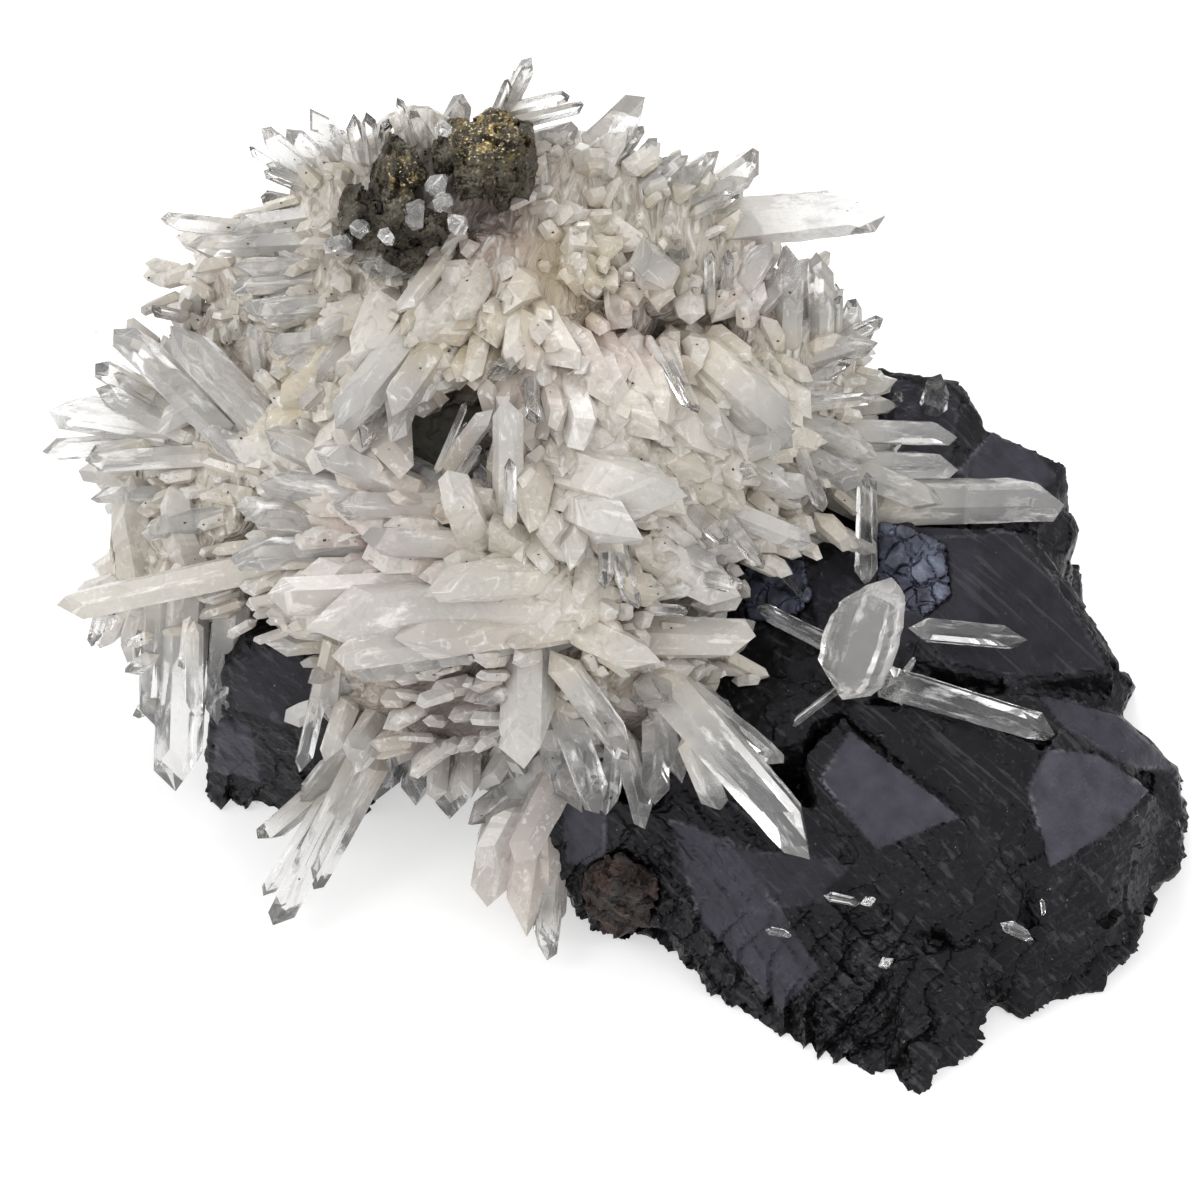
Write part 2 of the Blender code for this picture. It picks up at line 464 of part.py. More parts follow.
# Points on the mound. Each row: foot across, up, lift; tip across, up, lift; width across the corners.
MOUND_POINTS = [
    # fan at the top left
    (-27.5, 41.5, -2, -34.1, 46.9, 1, 2.5), (-26.2, 42.2, -2, -31.2, 47.3, 1, 2.3),
    (-24.5, 42.5, -3, -29.0, 49.1, 1, 3.0),
    # top edge behind the pyrite
    (-15.0, 45.0, -3, -14.0, 50.5, 0, 3.2), (-10.2, 47.5, -3, -6.8, 54.4, 1, 2.0),
    (-9.0, 45.0, -3, -2.2, 46.8, -1, 3.0),
    # fan at the top right
    (-3.0, 42.0, -4, 5.0, 49.8, 0, 3.8), (2.0, 41.5, -3, 6.0, 46.0, 0, 2.4),
    (2.6, 39.4, -3, 8.6, 44.7, 0, 2.8), (4.6, 39.0, -3, 12.2, 44.6, 0, 3.2),
    (7.4, 38.6, -3, 15.2, 42.5, 1, 2.8), (10.0, 37.4, -4, 28.6, 39.2, 2, 4.6),
    (4.4, 31.5, -5, 6.1, 34.6, 4, 6.2), (12.8, 30.5, -4, 17.4, 36.0, 1, 2.8),
    (13.8, 29.2, -3, 20.0, 35.4, 3, 2.4), (19.0, 25.5, -4, 19.4, 35.0, 2, 2.4),
    (21.9, 24.5, -4, 21.9, 34.9, 2, 3.0), (18.5, 23.2, -4, 27.8, 26.0, 2, 3.4),
    (19.5, 17.0, -4, 35.7, 16.6, 2, 2.7), (21.0, 13.6, -4, 35.9, 13.4, 2, 3.4),
    (22.5, 14.0, -3, 34.3, 9.4, 5, 3.6), (25.0, 9.8, -4, 46.4, 10.2, 14, 5.2),
    (17.0, 19.2, -4, 27.8, 14.3, 2, 3.6), (17.5, 15.6, -4, 26.4, 11.6, 2, 3.6),
    # left edge above the middle
    (-25.5, 38.4, -4, -37.4, 36.8, 2, 3.2), (-25.5, 36.0, -4, -41.3, 35.3, 5, 3.2),
    (-33.5, 36.8, 0, -44.0, 38.0, 7, 2.0), (-24.5, 33.6, -4, -36.7, 33.1, 3, 2.5),
    (-24.5, 32.0, -4, -37.0, 31.3, 3, 2.3), (-24.0, 29.6, -4, -35.9, 28.7, 4, 3.0),
    (-33.6, 20.0, -3, -34.9, 27.5, 2, 1.7), (-24.0, 26.5, -4, -33.0, 25.4, 1, 2.8),
    (-25.5, 23.5, -4, -31.4, 23.4, 1, 2.8), (-23.0, 28.5, -4, -28.6, 21.6, 0, 3.0),
    (-22.0, 30.5, -4, -29.0, 25.8, 1, 2.6), (-25.0, 24.5, -3, -29.6, 19.0, 1, 3.0),
    # left spray
    (-30.5, 9.5, -4, -48.3, 27.3, 6, 4.2), (-27.0, 10.5, -4, -43.0, 27.4, 6, 4.4),
    (-40.0, 17.0, -2, -55.2, 19.3, 9, 4.4), (-39.0, 15.4, -2, -50.6, 21.0, 5, 3.0),
    (-43.0, 15.8, -2, -55.8, 15.0, 10, 2.4), (-36.0, 14.6, -3, -51.6, 13.7, 6, 2.8),
    (-42.0, 10.6, -3, -51.0, 10.4, 5, 2.2), (-45.0, -1.0, -3, -47.6, 12.4, 2, 6.4),
    (-39.0, 1.0, -3, -43.5, 11.0, 1, 6.0), (-24.0, 5.6, -4, -54.3, -1.0, 13, 3.9),
    (-33.0, 9.0, -4, -46.0, 7.0, 2, 3.0), (-29.0, 13.0, -3, -40.0, 16.5, 1, 3.6),
    (-21.5, 11.5, -3, -33.5, 17.0, 2, 3.8), (-16.0, 9.5, -3, -28.5, 15.4, 2, 3.6),
    # from under the pyrite down to the left
    (-14.5, 36.0, -2, -20.0, 28.7, 4, 2.4), (-14.5, 32.0, -4, -26.2, 17.2, 4, 4.8),
    (-13.5, 29.5, -4, -21.2, 18.4, 3, 3.8), (-17.5, 24.0, -4, -20.6, 15.8, 1, 2.4),
    (-12.0, 27.5, -5, -18.6, 19.8, -1, 2.6), (-15.8, 12.4, -3, -10.9, 19.0, 2, 2.4),
    (-9.2, 3.0, -3, -9.2, 20.4, 3, 3.3), (-11.0, 3.5, -3, -15.2, 12.7, 3, 4.2),
    (-6.0, 25.0, -4, -4.0, 17.0, 1, 2.6),
    # middle
    (4.4, 26.5, -3, 7.0, 17.9, 2, 3.2), (6.5, 27.5, -4, 19.6, 15.8, 3, 6.4),
    (6.0, 22.0, -4, 13.8, 15.6, 2, 4.2), (0.0, 25.0, -4, 5.6, 15.4, 1, 5.2),
    (-4.0, 26.0, -4, -1.0, 15.0, 1, 4.6), (9.5, 13.0, -3, 19.6, 16.6, 3, 3.2),
    (12.0, 16.0, -3, 19.4, 11.2, 3, 2.8), (9.5, 10.4, -3, 21.0, 5.6, 5, 2.8),
    (5.0, 6.5, -4, 12.0, 3.2, 1, 2.6), (-5.6, 14.0, -5, -4.8, 5.4, 1, 3.4),
    (-1.0, 12.0, -4, -3.2, 3.2, 1, 3.4),
    # long milky blades across the front
    (2.0, 1.6, -2, -33.3, -0.6, 3, 4.4), (3.0, 0.4, -2, -29.0, -4.0, 4, 4.6),
    (-2.0, -2.6, -2, -24.6, -7.2, 4, 3.2), (0.0, 3.0, -3, -30.0, 2.6, 1, 4.0),
    (-6.0, 5.5, -3, -37.0, 4.6, 1.5, 4.2), (-8.0, 7.0, -3, -36.5, 8.6, 1.5, 4.4),
    (-9.0, 8.5, -3, -34.0, 12.2, 1.5, 4.4), (-9.0, 9.0, -4, -27.0, 9.6, 1.5, 3.6),
    (-7.0, 5.0, -3, -24.0, 5.8, 2, 3.6), (-5.0, -1.4, -3, 5.8, -6.6, 3, 4.2),
    (1.0, -3.6, -4, 15.7, -4.1, 4, 4.7),
]

# A burst of small points on the crown: its middle, its rings' radii, and the size and lift of the points.
BURST_ACROSS = -2.0
BURST_UP = 37.0
BURST_RADII = (4.5, 11.0)
BURST_LENGTH = 8.0
BURST_REACH = (0.4, 0.7)
BURST_SPACING = 8.5
BURST_JITTER = 0.25
BURST_FOOT_LIFT = -1.0
BURST_TIP_LIFTS = (1.0, 3.0)
BURST_WIDTHS = (2.0, 3.2)

# Points round the back, by height, first and last bearing and number, over one broad mass.
BACK_CENTRE = (-8.0, 19.0, 36.0)
BACK_RADII = (30.0, 17.0, 30.0)
BACK_ROWS = [(26.0, 8.0, 172.0, 6), (35.0, 12.0, 168.0, 6), (44.0, 20.0, 160.0, 5), (51.0, 50.0, 130.0, 2)]
BACK_JITTER = (0.2, 0.8)
BACK_FOOT_SHARE = 0.7
BACK_RISES = (-0.3, 0.5)
BACK_LENGTHS = (6.0, 10.0)
BACK_WIDTHS = (3.4, 6.0)
BACK_MIDDLE = -8.0
BACK_CROWN = 46.0
BACK_FALL = 0.012

# Points low on the specimen. Each row: foot across, up, height; tip across, up, height; width.
LOW_POINTS = [
    # left end, hanging beside the black crystal
    (-43.6, 0.0, 26.0, -44.8, -12.6, 10.5, 4.2), (-42.0, -1.0, 27.0, -42.4, -19.4, 4.0, 5.6),
    (-37.0, -2.0, 26.5, -38.1, -12.9, 12.5, 4.4),
    # below the long blades
    (-26.6, -3.0, 28.0, -29.9, -17.2, 14.5, 2.1), (-25.2, -5.0, 25.0, -26.0, -11.2, 19.0, 3.2),
    (-23.6, -8.0, 20.0, -22.3, -19.1, 4.0, 2.0), (-22.0, -12.0, 12.0, -32.5, -32.7, 2.2, 3.6),
    (-21.6, -15.0, 11.0, -28.9, -28.8, 3.4, 3.0), (-25.0, -16.0, 8.0, -33.6, -29.7, 3.2, 1.9),
    # over the brown crust at the middle of the front
    (-8.0, -12.5, 18.0, -12.7, -19.2, 10.5, 2.6), (-3.0, -15.0, 17.5, -13.0, -22.4, 7.5, 3.6),
    # pale block at the bottom
    (-6.0, -20.0, 11.0, -8.0, -33.6, 2.2, 5.2), (-4.4, -24.0, 8.0, -5.7, -36.0, 1.9, 3.0),
    (-3.0, -15.5, 18.5, -8.6, -26.2, 11.0, 4.3),
    # front row over the left end of the slab
    (-7.2, 0.0, 37.0, -7.2, -16.4, 23.0, 6.6), (-5.0, -11.0, 24.0, -4.6, -18.0, 18.0, 3.4),
    (-8.6, -8.8, 28.0, -12.7, -10.3, 27.0, 2.4), (-5.0, -5.0, 32.0, 3.2, -15.8, 26.0, 3.3),
    (-5.0, -7.0, 27.0, 0.4, -21.2, 18.6, 3.8), (-4.6, -13.0, 21.0, -2.2, -21.4, 16.0, 3.6),
    (1.8, -11.5, 23.0, 0.9, -21.6, 17.2, 2.4), (2.0, -12.0, 22.5, 4.9, -22.8, 17.4, 3.0),
    (5.8, -10.5, 24.0, 5.5, -20.6, 20.0, 3.2), (5.6, -9.0, 25.5, 8.4, -18.2, 21.6, 3.2),
    (4.6, -7.6, 26.0, 5.8, -10.4, 31.0, 4.4), (4.0, -5.4, 28.0, 21.4, -25.4, 24.6, 5.5),
    (7.0, -7.4, 27.0, 18.2, -16.4, 26.2, 2.7), (7.0, -7.6, 27.0, 14.0, -11.9, 26.6, 2.0),
]

# Points standing alone on the black rock, in rows like the low points. The first is the thick milky crystal
# with a point at both ends, by its corners, and the thin points round it.
MILKY_TWIN = [seen(*corner) for corner in ((28.4, 2.7, 35.0), (25.2, 1.0, 33.6), (23.1, -2.0, 31.0),
                                           (21.8, -6.0, 27.6), (22.6, -8.6, 25.6), (24.8, -10.2, 25.0),
                                           (27.7, -8.4, 25.6), (29.5, -3.0, 29.6), (30.0, 0.2, 32.2),
                                           (27.8, -0.6, 35.4), (25.2, -3.6, 33.4), (24.2, -7.0, 30.2),
                                           (26.4, -7.6, 29.4), (28.2, -2.6, 33.4), (26, 0.5, 28),
                                           (28.6, 0.4, 28.0), (24.4, -6.0, 22), (27.6, -6.0, 22))]
RIGHT_GROUP = [
    (24.5, -5.2, 26.0, 15.6, -0.7, 28.5, 2.0), (27.0, -7.4, 25.5, 31.5, -9.4, 25.2, 3.6),
    (27.5, -7.8, 25.6, 45.6, -13.2, 23.6, 3.6), (24.8, -8.2, 25.8, 19.2, -12.5, 25.2, 0.9),
]
SINGLE_POINTS = {
    "quartz_group": RIGHT_GROUP,
    "quartz_point_slab": [(30.8, -2.8, 27.2, 42.8, -3.9, 27.0, 3.0)],
    "quartz_point_upright": [(26.6, 1.4, 27.4, 26.7, 13.0, 39.0, 2.5)],
    "quartz_point_ridge": [(33.0, 18.0, 31.5, 34.2, 22.8, 37.6, 2.8)],
    "quartz_point_ridge_small": [(29.0, 18.2, 31.0, 30.1, 21.0, 35.0, 1.4)],
}

# Pyrite: clumps of blocky crystals on the crown, by their outlines in the front view and their corners' lift.
PYRITE_RIGHT = {
    "left_block": [(-16.9, 44.8, 1.5), (-16.0, 47.0, 2.0), (-15.0, 48.3, 1.5), (-13.2, 48.2, 2.5),
                   (-12.8, 46.6, 4.0), (-14.8, 43.6, 4.5), (-15.3, 42.4, 2.5), (-16.7, 42.8, 1.5)],
    "gold_block": [(-14.9, 46.0, 3.5), (-13.0, 47.8, 3.0), (-11.0, 49.2, 2.5), (-9.2, 48.9, 3.0),
                   (-7.8, 46.2, 4.5), (-8.4, 44.8, 6.0), (-11.4, 44.5, 6.8), (-13.8, 44.7, 6.0)],
    "front_block": [(-14.6, 45.0, 5.6), (-11.2, 44.8, 6.4), (-8.2, 45.2, 5.8), (-7.6, 43.0, 4.5),
                    (-8.5, 40.6, 2.5), (-11.0, 40.4, 2.5), (-14.0, 39.8, 2.0), (-14.8, 42.2, 4.0),
                    (-11.4, 42.4, 5.0)],
    "right_slab": [(-8.5, 47.9, 2.5), (-7.1, 47.8, 2.0), (-6.5, 45.5, 2.5), (-6.2, 43.2, 2.0),
                   (-7.1, 39.8, 1.0), (-8.7, 40.4, 2.0), (-8.2, 43.6, 5.0), (-8.1, 46.0, 4.6)],
    "low_knob": [(-10.7, 41.0, 2.0), (-8.9, 40.6, 2.2), (-9.2, 39.0, 1.0), (-10.1, 38.8, 1.0),
                 (-10.6, 39.6, 1.2)],
}
PYRITE_LEFT = {
    "top_crystal": [(-21.2, 46.8, 3.0), (-20.2, 46.6, 3.2), (-18.8, 45.2, 2.8), (-17.1, 42.9, 1.8),
                    (-17.6, 41.4, 2.2), (-19.4, 40.8, 4.5), (-20.4, 43.9, 6.0), (-22.0, 44.0, 2.8)],
    "dark_side": [(-21.6, 45.4, 3.2), (-20.3, 43.8, 5.6), (-20.9, 39.8, 5.0), (-23.4, 40.0, 2.0),
                  (-22.9, 42.6, 1.8)],
    "left_crystal": [(-26.1, 38.8, 1.4), (-25.9, 41.0, 1.8), (-25.2, 41.5, 1.8), (-23.9, 41.6, 2.0),
                     (-23.2, 40.5, 3.0), (-22.2, 38.8, 3.8), (-24.6, 38.0, 3.2)],
    "low_left": [(-26.2, 38.6, 1.4), (-24.6, 38.8, 3.0), (-21.6, 38.6, 4.4), (-20.2, 36.4, 3.4),
                 (-20.9, 35.5, 2.0), (-23.5, 35.0, 1.2), (-25.2, 35.1, 1.2), (-25.9, 37.0, 1.2)],
    "middle": [(-21.9, 41.2, 4.4), (-18.9, 40.9, 4.6), (-17.6, 38.8, 4.0), (-17.9, 36.4, 2.6),
               (-19.6, 35.5, 2.4), (-20.9, 36.2, 3.4), (-21.6, 38.4, 5.0), (-19.4, 38.6, 5.6)],
    "right_block": [(-17.9, 38.9, 3.2), (-15.1, 38.8, 2.2), (-15.1, 37.0, 2.0), (-15.8, 35.3, 1.4),
                    (-17.5, 35.1, 1.6), (-18.2, 36.4, 2.8), (-16.8, 37.4, 3.6)],
    "low_tip": [(-21.6, 35.8, 2.4), (-17.4, 35.3, 2.0), (-17.9, 33.6, 0.8), (-19.0, 32.3, 0.2),
                (-19.8, 33.4, 1.2), (-22.6, 34.6, 0.8)],
}
PYRITE_ROOT = -2.5
PYRITE_FOOT_SHARE = 0.9


def pyrite_block(corners):
    """The corners of a pyrite crystal with its foot a little narrower, let into the quartz."""
    middle_across = sum(c[0] for c in corners) / len(corners)
    middle_up = sum(c[1] for c in corners) / len(corners)
    top = [on_mound(*corner) for corner in corners]
    foot = []
    for across, up, _ in corners[::2]:
        across = middle_across + PYRITE_FOOT_SHARE * (across - middle_across)
        up = middle_up + PYRITE_FOOT_SHARE * (up - middle_up)
        foot.append(on_mound(across, up, PYRITE_ROOT))
    return top + foot


def rooted(across, up, lift):
    """The place on the mound where a point is rooted below it."""
    return on_mound(across, up, lift - ROOT_DEPTH)


def point_solids(rows, root_place, place, chance):
    """Crystal corner lists for rows of a table, placed by the given rules."""
    solids = []
    for row in rows:
        foot = root_place(*row[:3])
        tip = place(*row[3:6])
        solids.append(crystal(foot, tip, row[6], chance.uniform(0.0, math.pi / 3)))
    return solids


def burst_rows(chance):
    """Rows for the small points that spread in rings from the middle of the burst on the crown."""
    rows = []
    for radius in BURST_RADII:
        count = round(math.tau * radius / BURST_SPACING)
        start = chance.uniform(0.0, math.tau)
        for i in range(count):
            angle = start + math.tau * (i + chance.uniform(-BURST_JITTER, BURST_JITTER)) / count
            near = radius - BURST_LENGTH / 2
            far = radius + BURST_LENGTH * chance.uniform(*BURST_REACH)
            foot = (BURST_ACROSS + near * math.cos(angle), BURST_UP + near * math.sin(angle), BURST_FOOT_LIFT)
            tip_across = BURST_ACROSS + far * math.cos(angle)
            tip_up = BURST_UP + far * math.sin(angle)
            tip = (tip_across, tip_up, chance.uniform(*BURST_TIP_LIFTS))
            rows.append((*foot, *tip, chance.uniform(*BURST_WIDTHS)))
    return rows


def hidden_behind(place):
    """Whether a place on the back stays behind the mound in the front view."""
    up = place.y * TILT_SIN + (place.z - VIEW_HEIGHT) * TILT_COS
    return up < BACK_CROWN - BACK_FALL * (place.x - BACK_MIDDLE) ** 2


def back_points(chance):
    """Crystal corner lists for the points round the back, which lean out from the largest masses."""
    solids = []
    for height, first, last, count in BACK_ROWS:
        for i in range(count):
            angle = math.radians(first + (last - first) * (i + chance.uniform(*BACK_JITTER)) / count)
            share = math.sqrt(max(0.0, 1.0 - ((height - BACK_CENTRE[2]) / BACK_RADII[2]) ** 2))
            out = Vector((BACK_RADII[0] * math.cos(angle), BACK_RADII[1] * math.sin(angle), 0.0)) * share
            foot = Vector((BACK_CENTRE[0], BACK_CENTRE[1], height)) + out * BACK_FOOT_SHARE
            way = Vector((math.cos(angle), math.sin(angle), chance.uniform(*BACK_RISES))).normalized()
            reach = out.length * (1.0 - BACK_FOOT_SHARE) + chance.uniform(*BACK_LENGTHS)
            width = chance.uniform(*BACK_WIDTHS)
            if hidden_behind(foot + way * (reach + width / 2)):
                solids.append(crystal(foot, foot + way * reach, width, chance.uniform(0.0, 1.0)))
    return solids


def union_of(solids, name):
    """One solid from convex corner lists."""
    pieces = [new_object(hull_mesh(corners, name), name) for corners in solids]
    if len(pieces) == 1:
        return pieces[0]
    return combine(pieces[0], pieces[1:], "UNION")


def carve(thing, solids):
    """Cuts the thing back by the clearance around convex neighbours."""
    return combine(thing, [union_of([grown(corners, GAP) for corners in solids], "cutter")], "DIFFERENCE")


def build_matrix(solids, neighbours):
    matrix = union_of(solids, "sphalerite_matrix")
    carve(matrix, neighbours)
    slice_base(matrix)
    tidy_solid(matrix)
    return finish(matrix, "sphalerite_matrix", (0.022, 0.021, 0.026), 0.35)


def build_quartz(neighbours, chance):
    masses = [lump(centre, radii, chance) for centre, radii in QUARTZ_LUMPS]
    for across, up, lift, radius in QUARTZ_KNOBS:
        masses.append(knob(on_mound(across, up, lift), radius, chance))
    quartz = union_of(masses, "quartz_cluster")
    floor = [at_depth(across, up, HOLLOW_FLOOR) for across, up in HOLLOW_RIM]
    mouth = [at_depth(across, up, HOLLOW_MOUTH) for across, up in HOLLOW_RIM]
    combine(quartz, [new_object(hull_mesh(floor + mouth, "hollow"), "hollow")], "DIFFERENCE")
    points = list(QUARTZ_BLOCKS.values())
    points += point_solids(MOUND_POINTS + burst_rows(chance), rooted, on_mound, chance)
    points += point_solids(LOW_POINTS, seen, seen, chance) + back_points(chance)
    combine(quartz, [new_object(hull_mesh(corners, "point"), "point") for corners in points], "UNION")
    tidy_solid(quartz)
    carve(quartz, neighbours)
    slice_base(quartz)
    tidy_solid(quartz)
    return finish(quartz, "quartz_cluster", (0.78, 0.75, 0.70), 0.12, transmission=0.5)


def main():
    clear_scene()
    chance = random.Random(SEED)
    galena = list(GALENA_BLOCKS.values())
    matrix_solids = list(MATRIX_BLOCKS.values()) + [ledge(*row, chance) for row in BACK_LEDGES]
    build_matrix(matrix_solids, galena + WEATHERED_BLOCKS)

    for name, corners in GALENA_BLOCKS.items():
        finish(union_of([corners], name), name, (0.16, 0.17, 0.22), 0.3, metallic=0.6)
    lump_piece = union_of(WEATHERED_BLOCKS, "weathered_pyrite")
    finish(lump_piece, "weathered_pyrite", (0.07, 0.045, 0.03), 0.7)

    pyrites = []
    for name, rows in (("pyrite_right", PYRITE_RIGHT), ("pyrite_left", PYRITE_LEFT)):
        solids = [pyrite_block(corners) for corners in rows.values()]
        clump = union_of(solids, name)
        tidy_solid(clump)
        finish(clump, name, (0.13, 0.10, 0.06), 0.35, metallic=0.85)
        pyrites += solids
    groups = {name: point_solids(rows, seen, seen, chance) for name, rows in SINGLE_POINTS.items()}
    groups["quartz_group"].append(MILKY_TWIN)
    singles = [corners for solids in groups.values() for corners in solids]
    build_quartz(matrix_solids + pyrites + galena + WEATHERED_BLOCKS + singles, random.Random(SEED))
    for name, solids in groups.items():
        group = union_of(solids, name)
        carve(group, matrix_solids + galena)
        tidy_solid(group)
        finish(group, name, (0.78, 0.78, 0.77), 0.1, transmission=0.6)
    centre_pieces()


main()
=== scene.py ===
"""Sphalerite, quartz, pyrite and galena specimen, dressed for a studio picture.

Places on the specimen are given as the front view shows them, in millimetres across and up from
the picture's middle.
"""

import math

import bpy
import numpy as np
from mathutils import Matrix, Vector


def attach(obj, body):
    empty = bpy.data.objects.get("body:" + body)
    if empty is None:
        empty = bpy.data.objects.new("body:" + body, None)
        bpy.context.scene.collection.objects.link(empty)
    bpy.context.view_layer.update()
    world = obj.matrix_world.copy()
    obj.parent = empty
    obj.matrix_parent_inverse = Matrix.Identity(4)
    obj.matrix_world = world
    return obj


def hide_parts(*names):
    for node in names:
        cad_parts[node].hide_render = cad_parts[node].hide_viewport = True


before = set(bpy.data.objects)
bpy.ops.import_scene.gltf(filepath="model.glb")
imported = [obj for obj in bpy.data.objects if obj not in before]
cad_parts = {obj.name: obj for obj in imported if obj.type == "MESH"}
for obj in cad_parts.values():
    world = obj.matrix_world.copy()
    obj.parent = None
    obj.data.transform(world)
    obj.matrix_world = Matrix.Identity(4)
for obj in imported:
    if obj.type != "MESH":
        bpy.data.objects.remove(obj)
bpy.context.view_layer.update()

# Studio table
# The specimen lies on a plain white table under broad soft lamps, and is looked down on from the front.
MM = 0.001
VIEW_TILT = math.radians(50.0)
VIEW_DISTANCE = 667.0
VIEW_HEIGHT = 30.0
PICTURE_WIDTH = 120.0
SENSOR = 36.0
TILT_SIN = math.sin(VIEW_TILT)
TILT_COS = math.cos(VIEW_TILT)
# The picture's middle is at minus this place in the shared frame, in millimetres.
MIDDLE_X = 1.713
MIDDLE_Y = 2.187
MIDDLE = np.array((MIDDLE_X, MIDDLE_Y, 0.0))
scene = bpy.context.scene
scene.view_settings.view_transform = "Standard"


def write_values(mesh, values):
    """Stores named values, one for each point of a mesh."""
    for key, value in values.items():
        layer = mesh.attributes.new(key, "FLOAT", "POINT")
        layer.data.foreach_set("value", np.asarray(value, np.float32))


def put_mesh(name, points, faces, material, uv=None, values=None):
    """A flat-shaded object from points in metres and faces, with corner UVs and named point values."""
    mesh = bpy.data.meshes.new(name)
    mesh.from_pydata(np.asarray(points, float).tolist(), [], [list(face) for face in faces])
    if uv is not None:
        layer = mesh.uv_layers.new(name="along")
        layer.data.foreach_set("uv", np.asarray(uv, np.float32).ravel())
    write_values(mesh, values or {})
    mesh.shade_flat()
    mesh.materials.append(material)
    thing = bpy.data.objects.new(name, mesh)
    scene.collection.objects.link(thing)
    return thing


def aim(thing, place, target):
    """Puts a lamp or camera at a place in metres and turns it to a target."""
    thing.location = place
    way = np.array(target) - np.array(place)
    away = -way / np.linalg.norm(way)
    flat = math.hypot(away[0], away[1])
    thing.rotation_euler = (math.atan2(flat, away[2]), 0.0, math.atan2(away[0], -away[1]))


def new_material(name):
    """A material with nodes, returned with its tree and its shader."""
    material = bpy.data.materials.new(name)
    material.use_nodes = True
    tree = material.node_tree
    return material, tree, tree.nodes["Principled BSDF"]


table_material, tree, shader = new_material("white_table")
shader.inputs["Roughness"].default_value = 0.9
shader.inputs["Base Color"].default_value = (0.62, 0.62, 0.62, 1.0)
shader.inputs["Emission Color"].default_value = (1.0, 1.0, 1.0, 1.0)
shader.inputs["Emission Strength"].default_value = 0.5
TABLE_REACH = 4.0
corners = np.array([(-1, -1, 0), (1, -1, 0), (1, 1, 0), (-1, 1, 0)]) * TABLE_REACH
table = put_mesh("table", corners, [(0, 1, 2, 3)], table_material)

lens = bpy.data.cameras.new("front")
camera = bpy.data.objects.new("front", lens)
scene.collection.objects.link(camera)
target = np.array((-MIDDLE_X, -MIDDLE_Y, VIEW_HEIGHT)) * MM
toward_viewer = np.array((0.0, -TILT_COS, TILT_SIN))
aim(camera, target + toward_viewer * VIEW_DISTANCE * MM, target)
lens.sensor_width = SENSOR
lens.lens = SENSOR * VIEW_DISTANCE / PICTURE_WIDTH
lens.clip_start = 0.01
scene.camera = camera

world = bpy.data.worlds.new("room")
world.use_nodes = True
world.node_tree.nodes["Background"].inputs["Color"].default_value = (1.0, 1.0, 1.0, 1.0)
world.node_tree.nodes["Background"].inputs["Strength"].default_value = 0.9
scene.world = world
LAMPS = [
    ("back", (-0.10, 0.75, 0.85), 0.5, 4.0),
    ("left", (-0.80, -0.20, 0.60), 0.4, 2.4),
    ("right", (0.75, -0.35, 0.75), 0.3, 1.4),
]
for name, place, size, power in LAMPS:
    lamp = bpy.data.lights.new(name, "AREA")
    lamp.size = size
    lamp.energy = power
    holder = bpy.data.objects.new(name, lamp)
    scene.collection.objects.link(holder)
    aim(holder, place, (0.0, 0.0, 0.03))


# Sphalerite matrix
# One mass of black, iron-rich zinc blende, broken along its cleavage into stepped and striated faces.
# It is the CAD solid with a finer skin: lamellae, small steps, chips and flat facets, with a purple-grey
# reflection and rim highlights painted into their colour.
WELD_GAP = 0.000005


def places_seen(points):
    """Where points in metres show in the front view: across, up and depth toward the viewer, in mm."""
    x = points[:, 0] / MM + MIDDLE_X
    y = points[:, 1] / MM + MIDDLE_Y
    z = points[:, 2] / MM - VIEW_HEIGHT
    depth = -y * TILT_COS + z * TILT_SIN
    shrink = (VIEW_DISTANCE - depth) / VIEW_DISTANCE
    return x / shrink, (y * TILT_SIN + z * TILT_COS) / shrink, depth


def settle(thing):
    """Applies a thing's modifiers to its mesh."""
    reader = bpy.context.evaluated_depsgraph_get()
    mesh = bpy.data.meshes.new_from_object(thing.evaluated_get(reader))
    thing.modifiers.clear()
    thing.data = mesh
    return mesh


def finer_copy(node, pitch, name):
    """A closed copy of a CAD solid, rebuilt from even squares of a pitch in metres, with its arrays."""
    copy = bpy.data.objects.new(name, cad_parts[node].data.copy())
    scene.collection.objects.link(copy)
    copy.modifiers.new("merge", "WELD").merge_threshold = WELD_GAP
    remesh = copy.modifiers.new("even", "REMESH")
    remesh.mode = "VOXEL"
    remesh.voxel_size = pitch
    mesh = settle(copy)
    mesh.name = name
    mesh.materials.clear()
    arrays = []
    for layer in ("co", "normal"):
        values = np.empty(len(mesh.vertices) * 3, np.float32)
        mesh.vertices.foreach_get(layer, values)
        arrays.append(values.reshape(-1, 3).astype(float))
    return copy, *arrays


def wavy(points, size, seed):
    """Smooth values from about -1 to 1: the mean of nine sine waves in scattered directions, of a size."""
    chance = np.random.default_rng(seed)
    ways = chance.normal(size=(9, 3))
    ways *= (chance.uniform(0.6, 1.6, 9) / np.linalg.norm(ways, axis=1))[:, None] * math.tau / size
    return np.sin(points @ ways.T + chance.uniform(0, math.tau, 9)).mean(axis=1) * 1.8


def scattered(cell, seed):
    """Three even random numbers for each whole-numbered cell: the fraction of a large sine of its place."""
    mix = cell @ np.array([(127.1, 269.5, 113.5), (311.7, 183.3, 271.9), (74.7, 246.1, 124.6)]) + seed * 17.3
    return np.abs(np.sin(mix) * 43758.5453) % 1.0


